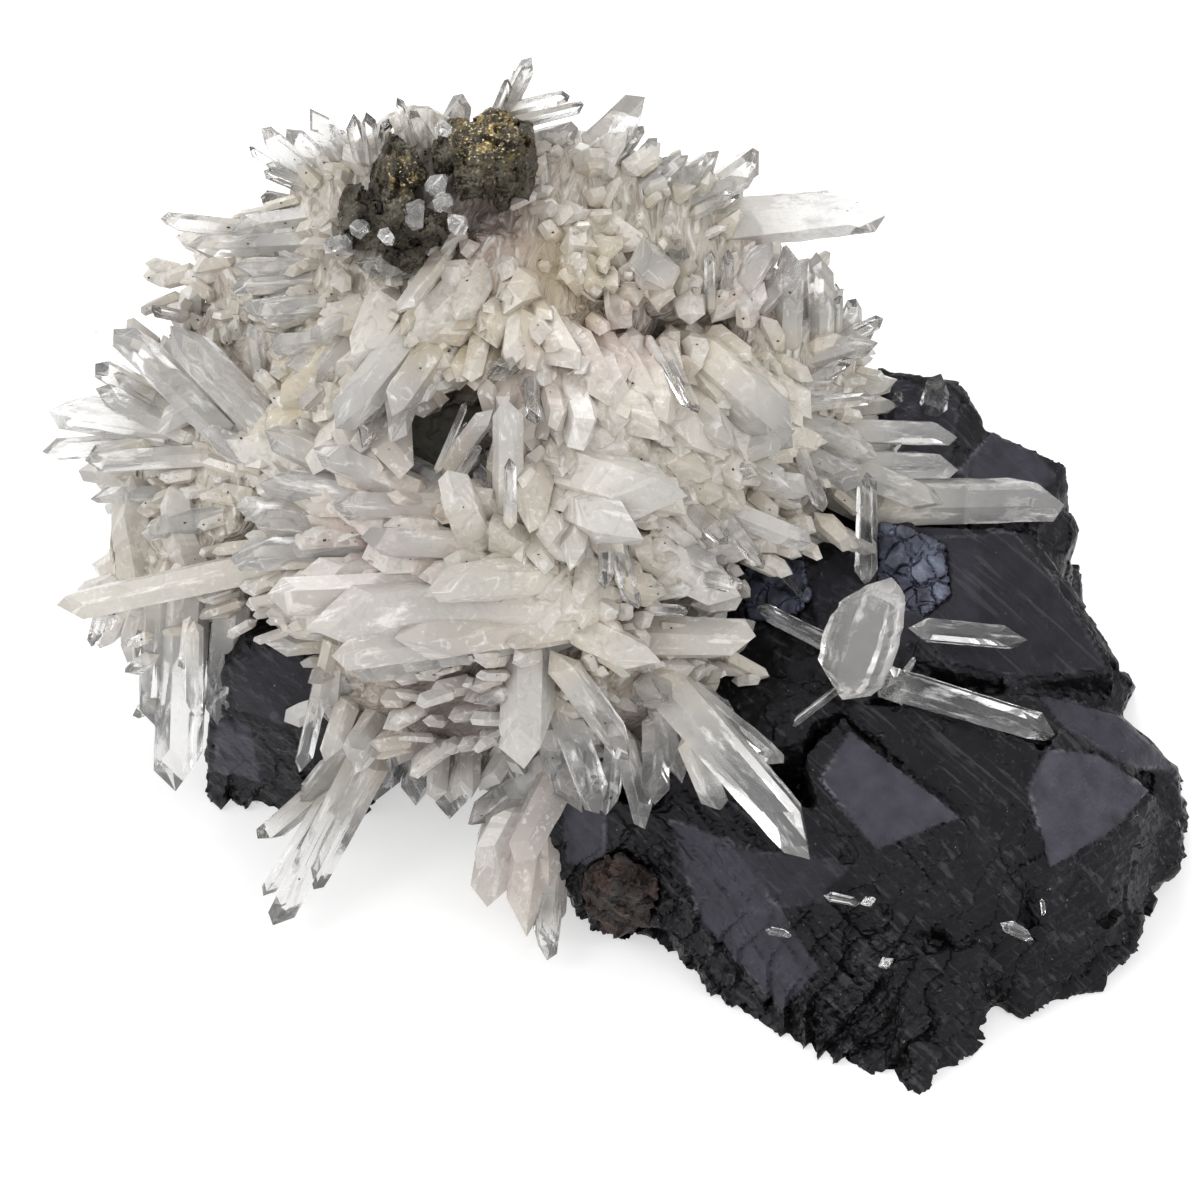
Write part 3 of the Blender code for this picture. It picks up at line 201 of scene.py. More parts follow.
def broken_cells(points, size, seed):
    """Heights of a broken surface, made of tilted flats of about a size.

    Each place belongs to the nearest of the middles scattered one to a cube, and its height is its
    distance from that middle along the middle's own random direction.
    """
    place = points / size
    home = np.floor(place)
    best = np.full(len(points), 1e9)
    height = np.zeros(len(points))
    for step in np.ndindex(3, 3, 3):
        cell = home + np.array(step) - 1.0
        gap = place - cell - scattered(cell, seed)
        far = (gap ** 2).sum(axis=1)
        way = scattered(cell, seed + 5.5) - 0.5
        way /= np.linalg.norm(way, axis=1)[:, None] + 1e-6
        nearer = far < best
        height[nearer] = (gap * way)[nearer].sum(axis=1)
        best[nearer] = far[nearer]
    return height


def inside(across, up, outline, soft):
    """0 outside a convex outline of the front view to 1 inside it, over a band of a soft width."""
    outline = np.array(outline, float)
    ahead = np.roll(outline, -1, axis=0)
    turn = np.sign(np.sum(outline[:, 0] * ahead[:, 1] - outline[:, 1] * ahead[:, 0]))
    level = np.full(len(across), 1e9)
    for (x0, y0), (x1, y1) in zip(outline, ahead):
        long = math.hypot(x1 - x0, y1 - y0)
        level = np.minimum(level, turn * ((x1 - x0) * (up - y0) - (y1 - y0) * (across - x0)) / long)
    return np.clip(level / soft + 0.5, 0.0, 1.0)


def store(mesh, points, **values):
    """Writes moved points in metres and named point values back to a mesh."""
    mesh.vertices.foreach_set("co", np.asarray(points, np.float32).ravel())
    write_values(mesh, values)
    mesh.update()


def dress(copy, points, material, **values):
    """Gives a finer copy its moved points in metres, its point values, flat faces and its material."""
    store(copy.data, points, **values)
    copy.data.shade_flat()
    copy.data.materials.append(material)


def add(tree, kind, **sockets):
    """A node with some of its sockets set."""
    node = tree.nodes.new(kind)
    for key, value in sockets.items():
        node.inputs[key.replace("_", " ")].default_value = value
    return node


def ramp(tree, source, stops):
    """A colour ramp over a source, with its stops as place and grey or colour."""
    node = tree.nodes.new("ShaderNodeValToRGB")
    tree.links.new(source, node.inputs["Fac"])
    while len(node.color_ramp.elements) < len(stops):
        node.color_ramp.elements.new(0.5)
    for element, (place, colour) in zip(node.color_ramp.elements, stops):
        element.position = place
        colour = (colour,) * 3 if isinstance(colour, (int, float)) else colour
        element.color = (*colour, 1.0)
    return node.outputs["Color"]


def mixed(tree, share, first, second):
    """Two colours or colour sources mixed by a share."""
    node = tree.nodes.new("ShaderNodeMix")
    node.data_type = "RGBA"
    tree.links.new(share, node.inputs["Factor"])
    for socket, source in ((node.inputs["A"], first), (node.inputs["B"], second)):
        if isinstance(source, tuple):
            socket.default_value = (*source, 1.0)
        else:
            tree.links.new(source, socket)
    return node.outputs["Result"]


def object_noise(tree, scale, detail=4.0, stretch=(1, 1, 1), turn=(0, 0, 0), distortion=0.0):
    """Noise on the object's own coordinates, stretched and turned as given."""
    place = tree.nodes.new("ShaderNodeTexCoord")
    mapping = tree.nodes.new("ShaderNodeMapping")
    mapping.vector_type = "TEXTURE"
    mapping.inputs["Scale"].default_value = stretch
    mapping.inputs["Rotation"].default_value = turn
    tree.links.new(place.outputs["Object"], mapping.inputs["Vector"])
    noise = add(tree, "ShaderNodeTexNoise", Scale=scale, Detail=detail, Distortion=distortion)
    tree.links.new(mapping.outputs["Vector"], noise.inputs["Vector"])
    return noise.outputs["Fac"]


def point_value(tree, name):
    """The value of a named point attribute."""
    node = tree.nodes.new("ShaderNodeAttribute")
    node.attribute_name = name
    return node.outputs["Fac"]


def tinted(tree, under, name, colour):
    """A colour laid over another as strongly as a point attribute says."""
    return mixed(tree, point_value(tree, name), under, colour)


def flecked(tree, under, source, stops, colour):
    """A colour laid over another as strongly as the stops of a ramp over a source say."""
    return mixed(tree, ramp(tree, source, stops), under, colour)


def finish_look(tree, shader, colour, rough, bumps=(), **constants):
    """Links the colour, links or sets the roughness, lays the bumps one on another and sets constants."""
    tree.links.new(colour, shader.inputs["Base Color"])
    if isinstance(rough, float):
        shader.inputs["Roughness"].default_value = rough
    else:
        tree.links.new(rough, shader.inputs["Roughness"])
    before = None
    for height, distance, strength in bumps:
        node = add(tree, "ShaderNodeBump", Strength=strength, Distance=distance)
        tree.links.new(height, node.inputs["Height"])
        if before is not None:
            tree.links.new(before, node.inputs["Normal"])
        before = node.outputs["Normal"]
        tree.links.new(before, shader.inputs["Normal"])
    for key, value in constants.items():
        shader.inputs[key.replace("_", " ")].default_value = value


# Flat facets on the rock: outline in the front view, how strongly each carries a painted purple-grey
# reflection, and how much it flattens what is on it.
FACETS_AND_SHEEN = [
    ([(25, -13), (36, -21.6), (27.5, -25), (26, -23), (22, -18)], 1.0, 0.95),
    ([(42.8, -18.6), (44.8, -14.9), (50, -15.5), (55, -19), (51.2, -23), (45, -26.8)], 1.0, 0.95),
    ([(30, 6), (41.4, 6.8), (45.4, 2), (50.8, -6.8), (42, -7.8), (34, -6)], 0.25, 0.7),
    ([(7, -22), (13, -24), (22, -37), (18, -41), (10, -32)], 0.75, 0.4),
    ([(-4, -19.5), (0.5, -20.5), (0.5, -27), (-3.5, -26)], 0.8, 0.6),
    ([(40, 8), (45.5, 12.5), (43.5, 14.8), (39.3, 16.8), (36, 13)], 0.7, 0.6),
    ([(44, -9.4), (51.6, -11.2), (57.8, -17), (53, -16.6), (46.5, -12.8)], 0.8, 0.5),
    ([(28, 10), (34, 9), (36, 20), (29.5, 22)], 0.35, 0.5),
    ([(26, 9.4), (34, 9), (38.5, 4.4), (37.4, -3.4), (27.4, -4.4)], 0.45, 0.25),
    ([(-38.2, -12), (-35, -12.6), (-34, -18), (-38.5, -17.2)], 0.8, 0.3),
    ([(-37, -6.6), (-31.5, -4.2), (-26, -8.6), (-31, -12.5), (-36.5, -11)], 0.2, 0.8),
    ([(-24.6, -9.4), (-23.4, -15.2), (-27.6, -19.2), (-30.6, -12.9)], 0.15, 0.8),
    ([(20.6, 3), (27.5, 6.5), (29, 1), (22, -4)], 0.45, 0.5),
    ([(12, -24.8), (21, -25.6), (25, -26.4), (22, -30.2), (15.5, -31.2)], 0.35, 0.6),
]
HOLLOW = [(-18.8, 19.2), (-10.6, 19.4), (-11.4, 17), (-15.4, 12.8), (-18.4, 11.6), (-21, 13.4), (-21.2, 16.4)]
LEFT_SLOPE = [(2, -20), (14, -20), (30, -34), (30, -50), (8, -42)]
ROCK_PITCH = 0.00037
ROCK_TRIANGLES = 185000
# The striations run down to the right across the slopes, as the turn that lays the Y axis along them.
STRIATION_TURN = Vector((0.75, -0.56, -0.36)).to_track_quat("Y", "Z").to_euler()
# Lamellae are two sets of saw-toothed heights, each with its direction and spacing in millimetres.
FINE_WAY, FINE_STEP = np.array((0.74, 0.51, 0.43)), 1.25
WIDE_WAY, WIDE_STEP = np.array((0.80, 0.30, 0.52)), 3.1
LOWEST, HIGHEST = -1.8, 1.5
GROOVE_DEPTH = 0.5
matrix, rock, outward = finer_copy("sphalerite_matrix", ROCK_PITCH, "sphalerite_rock")
across, up, depth = places_seen(rock)
place = rock / MM
facing = outward @ toward_viewer
shine, calm, groove, rim = np.zeros((4, len(rock)))
# Each facet's outline masks a painted reflection in the colour, a flatter surface and a groove round it.
for outline, gloss, flatness in FACETS_AND_SHEEN:
    within = inside(across, up, outline, 0.25) * (facing > -0.05)
    edge = inside(across, up, outline, 0.3)
    shine = np.maximum(shine, within * gloss)
    calm = np.maximum(calm, within * flatness)
    # A thin band along each facet's outline gets a painted highlight.
    rim = np.maximum(rim, 4.0 * edge * (1.0 - edge) * gloss * (facing > 0.0))
    groove = np.maximum(groove, (inside(across, up, outline, 1.5) - within) * flatness)
warp = wavy(place, 16.0, 3) * 0.16
fine_lamella = place @ FINE_WAY / FINE_STEP + warp
wide_lamella = place @ WIDE_WAY / WIDE_STEP + 1.6 * warp
teeth = 0.16 * (fine_lamella % 1.0) + 0.34 * (wide_lamella % 1.0) ** 2 - 0.22
combed = np.clip(0.35 + 0.9 * inside(across, up, LEFT_SLOPE, 3.0) + 0.5 * wavy(place, 14.0, 8), 0.05, 1.2)
chips = np.minimum(broken_cells(place, 4.6, 5), 0.12)
small_chips = np.minimum(broken_cells(place, 1.5, 6), 0.2)
back_ledges = np.minimum(broken_cells(place, 7.5, 7), 0.35) * np.clip(-facing * 3.0, 0.0, 1.0)
rough = combed * teeth + 0.42 * chips + 0.16 * small_chips + 1.1 * back_ledges
# Near the cut the lamellae stand apart like the teeth of a comb, which frays the lower outline.
low_edge = np.exp(-rock[:, 2] / (7.0 * MM)) * np.clip((-14.0 - up) / 6.0, 0.0, 1.0)
comb = (across * 0.84 - up * 0.54) / WIDE_STEP + 3.0 * warp + 0.45 * wavy(place, 6.0, 9)
fine_comb = (across * 0.60 - up * 0.80) / 1.05 + 2.0 * warp
uneven = 1.9 + wavy(place, 9.0, 10)
rough = rough + low_edge * (uneven * (comb % 1.0) + 0.4 * (fine_comb % 1.0) - 1.3)
rough = (np.clip(rough, LOWEST, HIGHEST) - GROOVE_DEPTH * np.clip(groove, 0.0, 1.0)) * (1.0 - calm)
rough = rough + 0.03 * calm * (fine_lamella % 1.0)
pushed = outward * (rough * MM)[:, None]
pushed[:, 2] *= np.clip((place[:, 2] - 0.5) / 1.5, 0.0, 1.0)
rock = rock + pushed
rock[:, 2] = np.maximum(rock[:, 2], 0.0)
hollow = inside(across, up, HOLLOW, 0.6) * (facing > 0.0) * (depth > -8.0)
store(matrix.data, rock, shine=shine, hollow=hollow, rim=rim)
# The flattest triangles are joined until about the given count is left.
matrix.data.calc_loop_triangles()
matrix.modifiers.new("fewer", "DECIMATE").ratio = ROCK_TRIANGLES / len(matrix.data.loop_triangles)
settle(matrix)
matrix.data.shade_flat()

material, tree, shader = new_material("black_sphalerite")
colour = ramp(tree, object_noise(tree, 260, 8), [
    (0.3, (0.0022, 0.0022, 0.0022)), (0.62, (0.0062, 0.0061, 0.0062)), (0.8, (0.020, 0.020, 0.021))])
# Fine pale lines along the striations are painted highlights.
striation_glints = object_noise(tree, 900, 5, stretch=(0.5, 9.0, 0.8), turn=STRIATION_TURN)
colour = flecked(tree, colour, striation_glints, [(0.57, 0.0), (0.66, 0.8)], (0.040, 0.040, 0.043))
# Sparse pale specks are partly dust and partly painted glints.
dust_and_glint_specks = object_noise(tree, 2300, 2)
colour = flecked(tree, colour, dust_and_glint_specks, [(0.74, 0.0), (0.78, 0.9)], (0.22, 0.22, 0.21))
# The facets' purple-grey colour is a painted reflection, laid on as strongly as the facet mask says.
sheen = [(0.25, (0.030, 0.029, 0.036)), (0.75, (0.066, 0.063, 0.082))]
painted_reflection = ramp(tree, object_noise(tree, 420, 8), sheen)
colour = tinted(tree, colour, "shine", painted_reflection)
# A painted highlight along the facets' rims, broken up by noise.
rim_highlight_breaks = ramp(tree, object_noise(tree, 180, 4), [(0.48, 0.0), (0.62, 0.8)])
colour = mixed(tree, tinted(tree, (0.0, 0.0, 0.0), "rim", rim_highlight_breaks), colour, (0.20, 0.20, 0.22))
colour = tinted(tree, colour, "hollow", (0.13, 0.125, 0.095))
gloss = ramp(tree, object_noise(tree, 900, 5), [(0.3, 0.26), (0.7, 0.5)])
striated = object_noise(tree, 420, 6, stretch=(0.4, 3.0, 0.6), turn=STRIATION_TURN)
grained = object_noise(tree, 2600, 3)
finish_look(tree, shader, colour, gloss, [(striated, 0.00022, 0.7), (grained, 0.00012, 0.5)], IOR=1.5,
            Specular_IOR_Level=0.26, Specular_Tint=(0.90, 0.88, 1.0, 1.0))
matrix.data.materials.append(material)
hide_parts("sphalerite_matrix")
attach(matrix, "root")


# Quartz points
# Every point is a six-sided prism of rock crystal with a six-faced tip, cloudy at the root.
# They grow in sprays from the mound, most of them pressed against others that lean the same way.
MOUND_DEPTH = 14.0
MOUND_ACROSS = -8.0
MOUND_UP = 14.0
MOUND_LEFT_FALL = 0.0146
MOUND_RIGHT_FALL = 0.0128
MOUND_TOP_FALL = 0.0055
MOUND_FRONT_FALL = 20.0 / 34.0 ** 3
CORNERS = 6
chance = np.random.default_rng(34)


def at_depth(across, up, depth):
    """Places in the shared frame, in millimetres, that show at (across, up) at a depth toward the viewer."""
    shrink = (VIEW_DISTANCE - depth) / VIEW_DISTANCE
    x = across * shrink - MIDDLE_X
    y = up * shrink * TILT_SIN - depth * TILT_COS - MIDDLE_Y
    z = VIEW_HEIGHT + up * shrink * TILT_COS + depth * TILT_SIN
    return np.stack([x, y, z], axis=-1)


def seen(across, up, height):
    """Places that show at (across, up) in the front view, at a height above the table."""
    spread = TILT_SIN - up * TILT_COS / VIEW_DISTANCE
    return at_depth(across, up, (height - VIEW_HEIGHT - up * TILT_COS) / spread)


def mound_depth(across, up):
    """The depth of the mound's face toward the viewer.

    It falls with the square of the distance aside of and above its crown, and with the cube of the
    distance below it.
    """
    aside = across - MOUND_ACROSS
    above = up - MOUND_UP
    depth = MOUND_DEPTH - aside ** 2 * np.where(aside < 0, MOUND_LEFT_FALL, MOUND_RIGHT_FALL)
    below = -np.minimum(above, 0) ** 3 * MOUND_FRONT_FALL
    return depth - np.where(above > 0, above ** 2 * MOUND_TOP_FALL, below)


def on_mound(across, up, lift):
    """Places that show at (across, up), lifted above the quartz mound toward the viewer."""
    return at_depth(across, up, mound_depth(across, up) + lift)


def unit(ways):
    """A table of directions, each made one long."""
    return ways / np.linalg.norm(ways, axis=1)[:, None]


def ends(table, place, sunk=0.0, raised=0.0):
    """Feet, tips and widths of a table's rows, set by a placing function, feet sunk and tips raised."""
    return place(*(table[:, :3] - (0, 0, sunk)).T), place(*(table[:, 3:6] + (0, 0, raised)).T), table[:, 6]


# Tinted patches in the quartz: across, up and radius in the front view. The darkest set is partly the
# quartz's own brownish colour and partly painted shade in the deeper places.
TINTS = {
    "pink": [(-10, 36, 6), (2, 26, 5), (-23, 6, 7), (-8, 21, 4), (-14, -13, 8), (-9, -26, 6), (16, 31, 4)],
    "warm": [(-14, 25, 6), (-30, 20, 4), (-17, -16, 7), (-3, 33, 5), (-2, -12, 5)],
    "brown_and_shade": [(-20.5, 39.2, 3.8), (-15.2, 41, 2), (-15, -13, 9), (-36, -4, 5), (-4, -20, 6), (3, -15, 6),
             (-44, 28, 3), (12, 2, 5), (-20, 18, 5), (-10, 17, 5)],
}


def tints(points):
    """How strongly places in millimetres lie in the patches: bell curves of the distance as seen."""
    across, up, _ = places_seen(points * MM)
    values = {}
    for tint, patches in TINTS.items():
        bells = sum(np.exp(-((across - a) ** 2 + (up - u) ** 2) / radius ** 2) for a, u, radius in patches)
        values[tint] = np.clip(bells, 0.0, 1.0)
    return values


def prism_faces(count, rings):
    """The side faces and the tip and foot faces of a number of prisms.

    Each prism's points are its rings in turn, then its tip and its foot.
    """
    ring = rings * CORNERS
    last = ring - CORNERS
    corner = np.arange(CORNERS)
    ahead = (corner + 1) % CORNERS
    below = np.arange(rings - 1)[:, None] * CORNERS
    above = below + CORNERS
    sides = np.stack([below + corner, below + ahead, above + ahead, above + corner], axis=-1)
    caps = np.concatenate([np.stack([last + corner, last + ahead, np.full(CORNERS, ring)], axis=-1),
                           np.stack([ahead, corner, np.full(CORNERS, ring + 1)], axis=-1)])
    base = np.arange(count)[:, None, None] * (ring + 2)
    return (sides.reshape(1, -1, 4) + base).reshape(-1, 4), (caps[None] + base).reshape(-1, 3)


def prisms(name, foot, tip, width, rings=5, cloud=(0.2, 0.75), clear=1.0, point=0.66, flat=1.0, step=0.018,
           tone=None, barrel=0.0):
    """Six-sided points from feet to tips, all in one mesh.

    Each is a ring of six uneven corners carried along its axis, narrowing a little in growth steps of the
    given size, or swelling in the middle by barrel. The rings at both ends stop at uneven heights, about
    point widths from the ends, so that the six faces there, which meet off the axis, differ in size.
    The point value clear rises from 0 at the root to the given share at the tip, between the two shares
    of the length in cloud.
    """
    count = len(foot)
    length = np.linalg.norm(tip - foot, axis=1)
    axis = unit(tip - foot)
    side = np.cross(axis, toward_viewer)
    short = np.linalg.norm(side, axis=1) < 0.2
    side[short] = np.cross(axis[short], (1.0, 0.0, 0.0))
    side = unit(side)
    front = np.cross(axis, side)
    roll = chance.uniform(0, math.tau, count)
    angle = roll[:, None] + np.arange(CORNERS) * math.pi / 3 + chance.uniform(-0.12, 0.12, (count, CORNERS))
    squash = chance.uniform(0.72, 1.0, count) * flat
    reach = 0.5 * width[:, None] * chance.uniform(0.88, 1.04, (count, CORNERS))
    out = (side[:, None] * (np.cos(angle) * reach)[..., None]
           + front[:, None] * (np.sin(angle) * reach * squash[:, None])[..., None])
    rise = np.minimum(point * width, 0.55 * length)[:, None]
    lean_angle = chance.uniform(0, math.tau, count)
    lean = np.cos(angle - lean_angle[:, None])
    zigzag = np.where(np.arange(CORNERS) % 2, 1, -1)
    top = length[:, None] - rise * (1.0 + 0.3 * zigzag - 0.35 * lean)
    low = rise * (1.0 - 0.3 * lean)
    levels = np.linspace(0.0, 1.0, rings) ** 0.85
    along = low[:, None] + (top - low)[:, None] * levels[None, :, None]
    narrow = 1.0 - 0.10 * levels[None, :, None] + chance.normal(0, step, (count, rings, 1))
    narrow = narrow + chance.normal(0, step * 0.5, (count, rings, CORNERS))
    narrow = narrow + barrel * (2.0 * np.sqrt(np.sin(math.pi * levels)) - 1.5)[None, :, None]
    body = foot[:, None, None] + axis[:, None, None] * along[..., None] + out[:, None] * narrow[..., None]
    lean_way = side * np.cos(lean_angle)[:, None] + front * (np.sin(lean_angle) * squash)[:, None]
    apex = tip + lean_way * (0.14 * width)[:, None]
    points = np.concatenate([body.reshape(count, -1, 3), apex[:, None], foot[:, None]], axis=1).reshape(-1, 3)

    quads, triangles = prism_faces(count, rings)
    run = np.concatenate([along.reshape(count, -1), length[:, None], np.zeros((count, 1))], axis=1)
    root, end_of_milk = (np.asarray(c, float).reshape(-1, 1) for c in cloud)
    glass = np.clip((run / length[:, None] - root) / (end_of_milk - root), 0, 1)
    glass = glass * glass * (3 - 2 * glass) * np.asarray(clear, float).reshape(-1, 1)
    tones = chance.uniform(0, 1, count) if tone is None else tone
    order = np.argsort(chance.uniform(size=count)) * 7.0
    bearing = np.concatenate([np.tile(np.arange(CORNERS) * 1.0, rings), [3.0, 3.0]])
    uv_of_point = np.stack([bearing + np.zeros((count, 1)), run + order[:, None]], axis=-1).reshape(-1, 2)
    quad_uv = uv_of_point[quads]
    quad_uv[:, (1, 2), 0] = quad_uv[:, (0, 3), 0] + 1.0
    uv = np.concatenate([quad_uv.reshape(-1, 2), uv_of_point[triangles].reshape(-1, 2)])
    values = {"clear": glass.ravel(), "tone": np.repeat(tones, rings * CORNERS + 2), **tints(points)}
    return put_mesh(name, points * MM, list(quads) + list(triangles), rock_crystal, uv=uv, values=values)


# Points on the mound. Each row: foot across, up, lift; tip across, up, lift; width across the corners.
MOUND_POINTS = np.array([
    # fan at the top left, and the top edge behind the pyrite
    (-27.5, 41.5, -2, -34.1, 46.9, 1, 2.5), (-26.2, 42.2, -2, -31.2, 47.3, 1, 2.3),
    (-24.5, 42.5, -3, -29, 49.1, 1, 3), (-15, 45, -3, -14, 50.5, 0, 3.2),
    (-10.2, 47.5, -3, -6.8, 54.4, 1, 2), (-9, 45, -3, -2.2, 46.8, -1, 3),
    # fan at the top right
    (-3, 42, -4, 5, 49.8, 0, 5), (2, 41.5, -3, 6, 46, 0, 2.4), (2.6, 39.4, -3, 8.6, 44.7, 0, 2.8),
    (4.6, 39, -3, 12.2, 44.6, 0, 3.2), (7.4, 38.6, -3, 15.2, 42.5, 1, 2.8), (8, 37, -3, 28.6, 39.2, 3, 5.6),
    (4.4, 31.5, -5, 6.1, 34.6, 4, 6.2), (12.4, 28.5, -3, 17.2, 36, 3, 3.4),
    (14.8, 28.2, -3, 20.6, 34.4, 4, 3), (18.6, 23.5, -3, 19.2, 35, 3, 3.2),
    (22.1, 23.5, -3, 22.1, 34.9, 3, 3.6), (18.5, 23.2, -4, 27.8, 26, 2, 3.4),
    (19.5, 17, -4, 35.7, 16.6, 2, 2.7), (21, 13.6, -4, 35.9, 13.4, 2, 3.4),
    (22.5, 14, -3, 34.3, 9.4, 5, 3.6), (25, 9.8, -4, 46.4, 10.2, 14, 5.2),
    (17, 19.2, -4, 27.8, 14.3, 2, 3.6), (17.5, 15.6, -4, 26.4, 11.6, 2, 3.6),
    # left edge above the middle
    (-25.5, 38.4, -4, -37.4, 36.8, 2, 3.2), (-25.5, 36, -4, -41.3, 35.3, 5, 3.2),
    (-33.5, 36.8, 0, -44, 38, 7, 2), (-24.5, 33.6, -4, -36.7, 33.1, 3, 2.5),
    (-24.5, 32, -4, -37, 31.3, 3, 2.3), (-24, 29.6, -4, -35.9, 28.7, 4, 3),
    (-33.6, 20, -3, -34.9, 27.5, 2, 1.7), (-24, 26.5, -4, -33, 25.4, 1, 2.8),
    (-25.5, 23.5, -4, -31.4, 23.4, 1, 2.8), (-23, 28.5, -4, -28.6, 21.6, 0, 3),
    (-22, 30.5, -4, -29, 25.8, 1, 2.6), (-25, 24.5, -3, -29.6, 19, 1, 3),
    # left spray
    (-30.5, 9.5, -4, -48.3, 27.3, 6, 4.2), (-27, 10.5, -4, -43, 27.4, 6, 4.4),
    (-40, 17, -2, -55.2, 19.3, 9, 4.4), (-39, 15.4, -2, -50.6, 21, 5, 3),
    (-43, 15.8, -2, -55.8, 15, 10, 2.4), (-36, 14.6, -3, -51.6, 13.7, 6, 2.8),
    (-42, 10.6, -3, -51, 10.4, 5, 2.2), (-45, -1, -4, -47.6, 12.4, 1, 5.6), (-39, 1, -4, -43.5, 11, 1, 5),
    (-24, 5.6, -4, -54.3, -1, 13, 3.9), (-33, 9, -4, -46, 7, 2, 3), (-29, 13, -3, -40, 16.5, 1, 3.6),
    (-21.5, 11.5, -3, -33.5, 17, 2, 3.8), (-16, 9.5, -3, -28.5, 15.4, 2, 3.6),
    # from under the pyrite down to the left
    (-14.5, 36, -2, -20, 28.7, 4, 2.4), (-14.5, 32, -4, -26.2, 17.2, 4, 4.8),
    (-13.5, 29.5, -4, -21.2, 18.4, 3, 3.8), (-17.5, 24, -4, -20.6, 15.8, 1, 2.4),
    (-12, 27.5, -5, -18.6, 19.8, -1, 2.6), (-15.8, 12.4, -3, -10.9, 19, 2, 2.4),
    (-9.2, 3, -3, -9.2, 20.4, 3, 3.3), (-11, 3.5, -3, -15.2, 12.7, 3, 4.2), (-6, 25, -4, -4, 17, 1, 2.6),
    # middle
    (4.4, 26.5, -3, 7, 17.9, 2, 3.2), (6.5, 27.5, -4, 19.6, 15.8, 3, 6.4), (6, 22, -4, 13.8, 15.6, 2, 4.2),
    (0, 25, -4, 5.6, 15.4, 1, 5.2), (-4, 26, -4, -1, 15, 1, 4.6), (9.5, 13, -3, 19.6, 16.6, 3, 3.2),
    (12, 16, -3, 19.4, 11.2, 3, 2.8), (9.5, 10.4, -3, 21, 5.6, 5, 2.8), (5, 6.5, -4, 12, 3.2, 1, 2.6),
    (-5.6, 14, -5, -4.8, 5.4, 1, 3.4), (-1, 12, -4, -3.2, 3.2, 1, 3.4),
    # long milky blades across the front
    (2, 1.8, -1, -33.3, 0.4, 5.4, 5), (2, -0.6, -1, -27, -5, 5.4, 5.2), (-2, -2.6, -2, -24.6, -7.2, 4, 3.2),
    (0, 3, -3, -30, 2.6, 1, 4), (-6, 5.5, -3, -37, 4.6, 1.5, 4.2), (-8, 7, -3, -36.5, 8.6, 1.5, 4.4),
    (-9, 8.5, -3, -34, 12.2, 1.5, 4.4), (-9, 9, -4, -27, 9.6, 1.5, 3.6), (-7, 5, -3, -24, 5.8, 2, 3.6),
    (-5, -1.4, -3, 5.8, -6.6, 3, 4.2), (1, -3.6, -4, 15.7, -4.1, 4, 4.7), (3, 0.8, -1, -29.5, -1.8, 6, 7),
    (0, -1, -3, -20.5, -4.6, 4.2, 5.4), (1, 2.4, -3, -17, 1.8, 4, 5), (-7.5, 14.5, -4, 8.6, 9.4, 2.6, 7.4),
    (-6, 11, -4, 4, 6.4, 2.8, 6),
])
# Slender points between them.
THIN_POINTS = np.array([
    (-30.5, 42.3, -2, -35.2, 45.2, 0, 1.3), (-18.5, 45, -2, -20.3, 50.3, 1, 1.2),
    (-10.8, 47.5, -3, -9, 52, 0, 1.5), (-9, 47.6, -3, -1.6, 49.4, 1, 1.6),
    (8.6, 38.2, -2, 13.9, 40.8, 1, 1.6), (11, 28.5, -3, 11, 34.9, 2, 1.4), (12.6, 29, -3, 12.8, 35, 2, 1.5),
    (18.5, 19.3, -3, 27.7, 20.3, 2, 1.6), (-38, 17, -3, -50.6, 26.8, 2, 1.6),
    (-41, 28.2, 0, -44.8, 29, 8, 1.4), (-16.4, 12.6, -3, -13.4, 19.7, 0, 0.9),
    (-14.8, 11, -3, -12.1, 15.6, 2, 1.3), (-9, 7, 1, -9, 14.1, 4, 1.4), (4.6, 26.5, -2, 9, 19, 3, 1.2),
    (6, 26.5, -2, 9.8, 18.6, 3, 1.3), (4.4, -0.9, -1, 8.8, -1.1, 2, 1.3), (-28, 41, -3, -33.6, 43.2, 0, 2),
    (-23.3, 42.8, -2, -24.9, 48.6, 2, 2), (-22.6, 43, -2, -23.3, 48.9, 2, 1.9),
    (-21.8, 43.2, -2, -21.2, 48.3, 1, 1.7), (-16, 44, -3, -19.2, 48.8, 0, 1.8),
    (-10, 48.8, -3, -3.1, 50.4, 0, 1.7), (22.5, 25.2, -3, 28.4, 28, 2, 1.8),
    (20.5, 21.4, -3, 25.4, 24.2, 1, 1.9), (17, 20.6, -3, 24.4, 21.4, 1, 1.7),
    (-41, 18, -2, -48.8, 22.4, 4, 2), (-6.9, 23.5, -3, -6.6, 17.5, 2, 1.7),
    (11.5, 13.4, -2, 15.9, 12.6, 2, 1.9), (19, 17, -3, 22.4, 8.7, 4, 1.8),
    (11.5, 9.4, -2, 16.3, 3.2, 5, 1.8), (6.5, 3.4, -3, 14.4, 1.2, 3, 2), (0.6, 9, -2, 0.6, 1.2, 3, 1.8),
    (0, 42.6, -3, 4.2, 47.5, 0, 2.4), (-24, 35, -1, -27.8, 35.8, 2, 2.2),
    (-19, 33.1, -1, -24.4, 33.4, 2, 2.4), (-18.8, 24, -4, -24, 15.4, 1, 2.4), (-5, 27, -4, -11, 22, 1, 2.4),
    (8, 10, -2, 12.9, 5.8, 3, 2.2), (0.8, 8.6, -2, 3.5, -0.9, 4, 2.3),
])
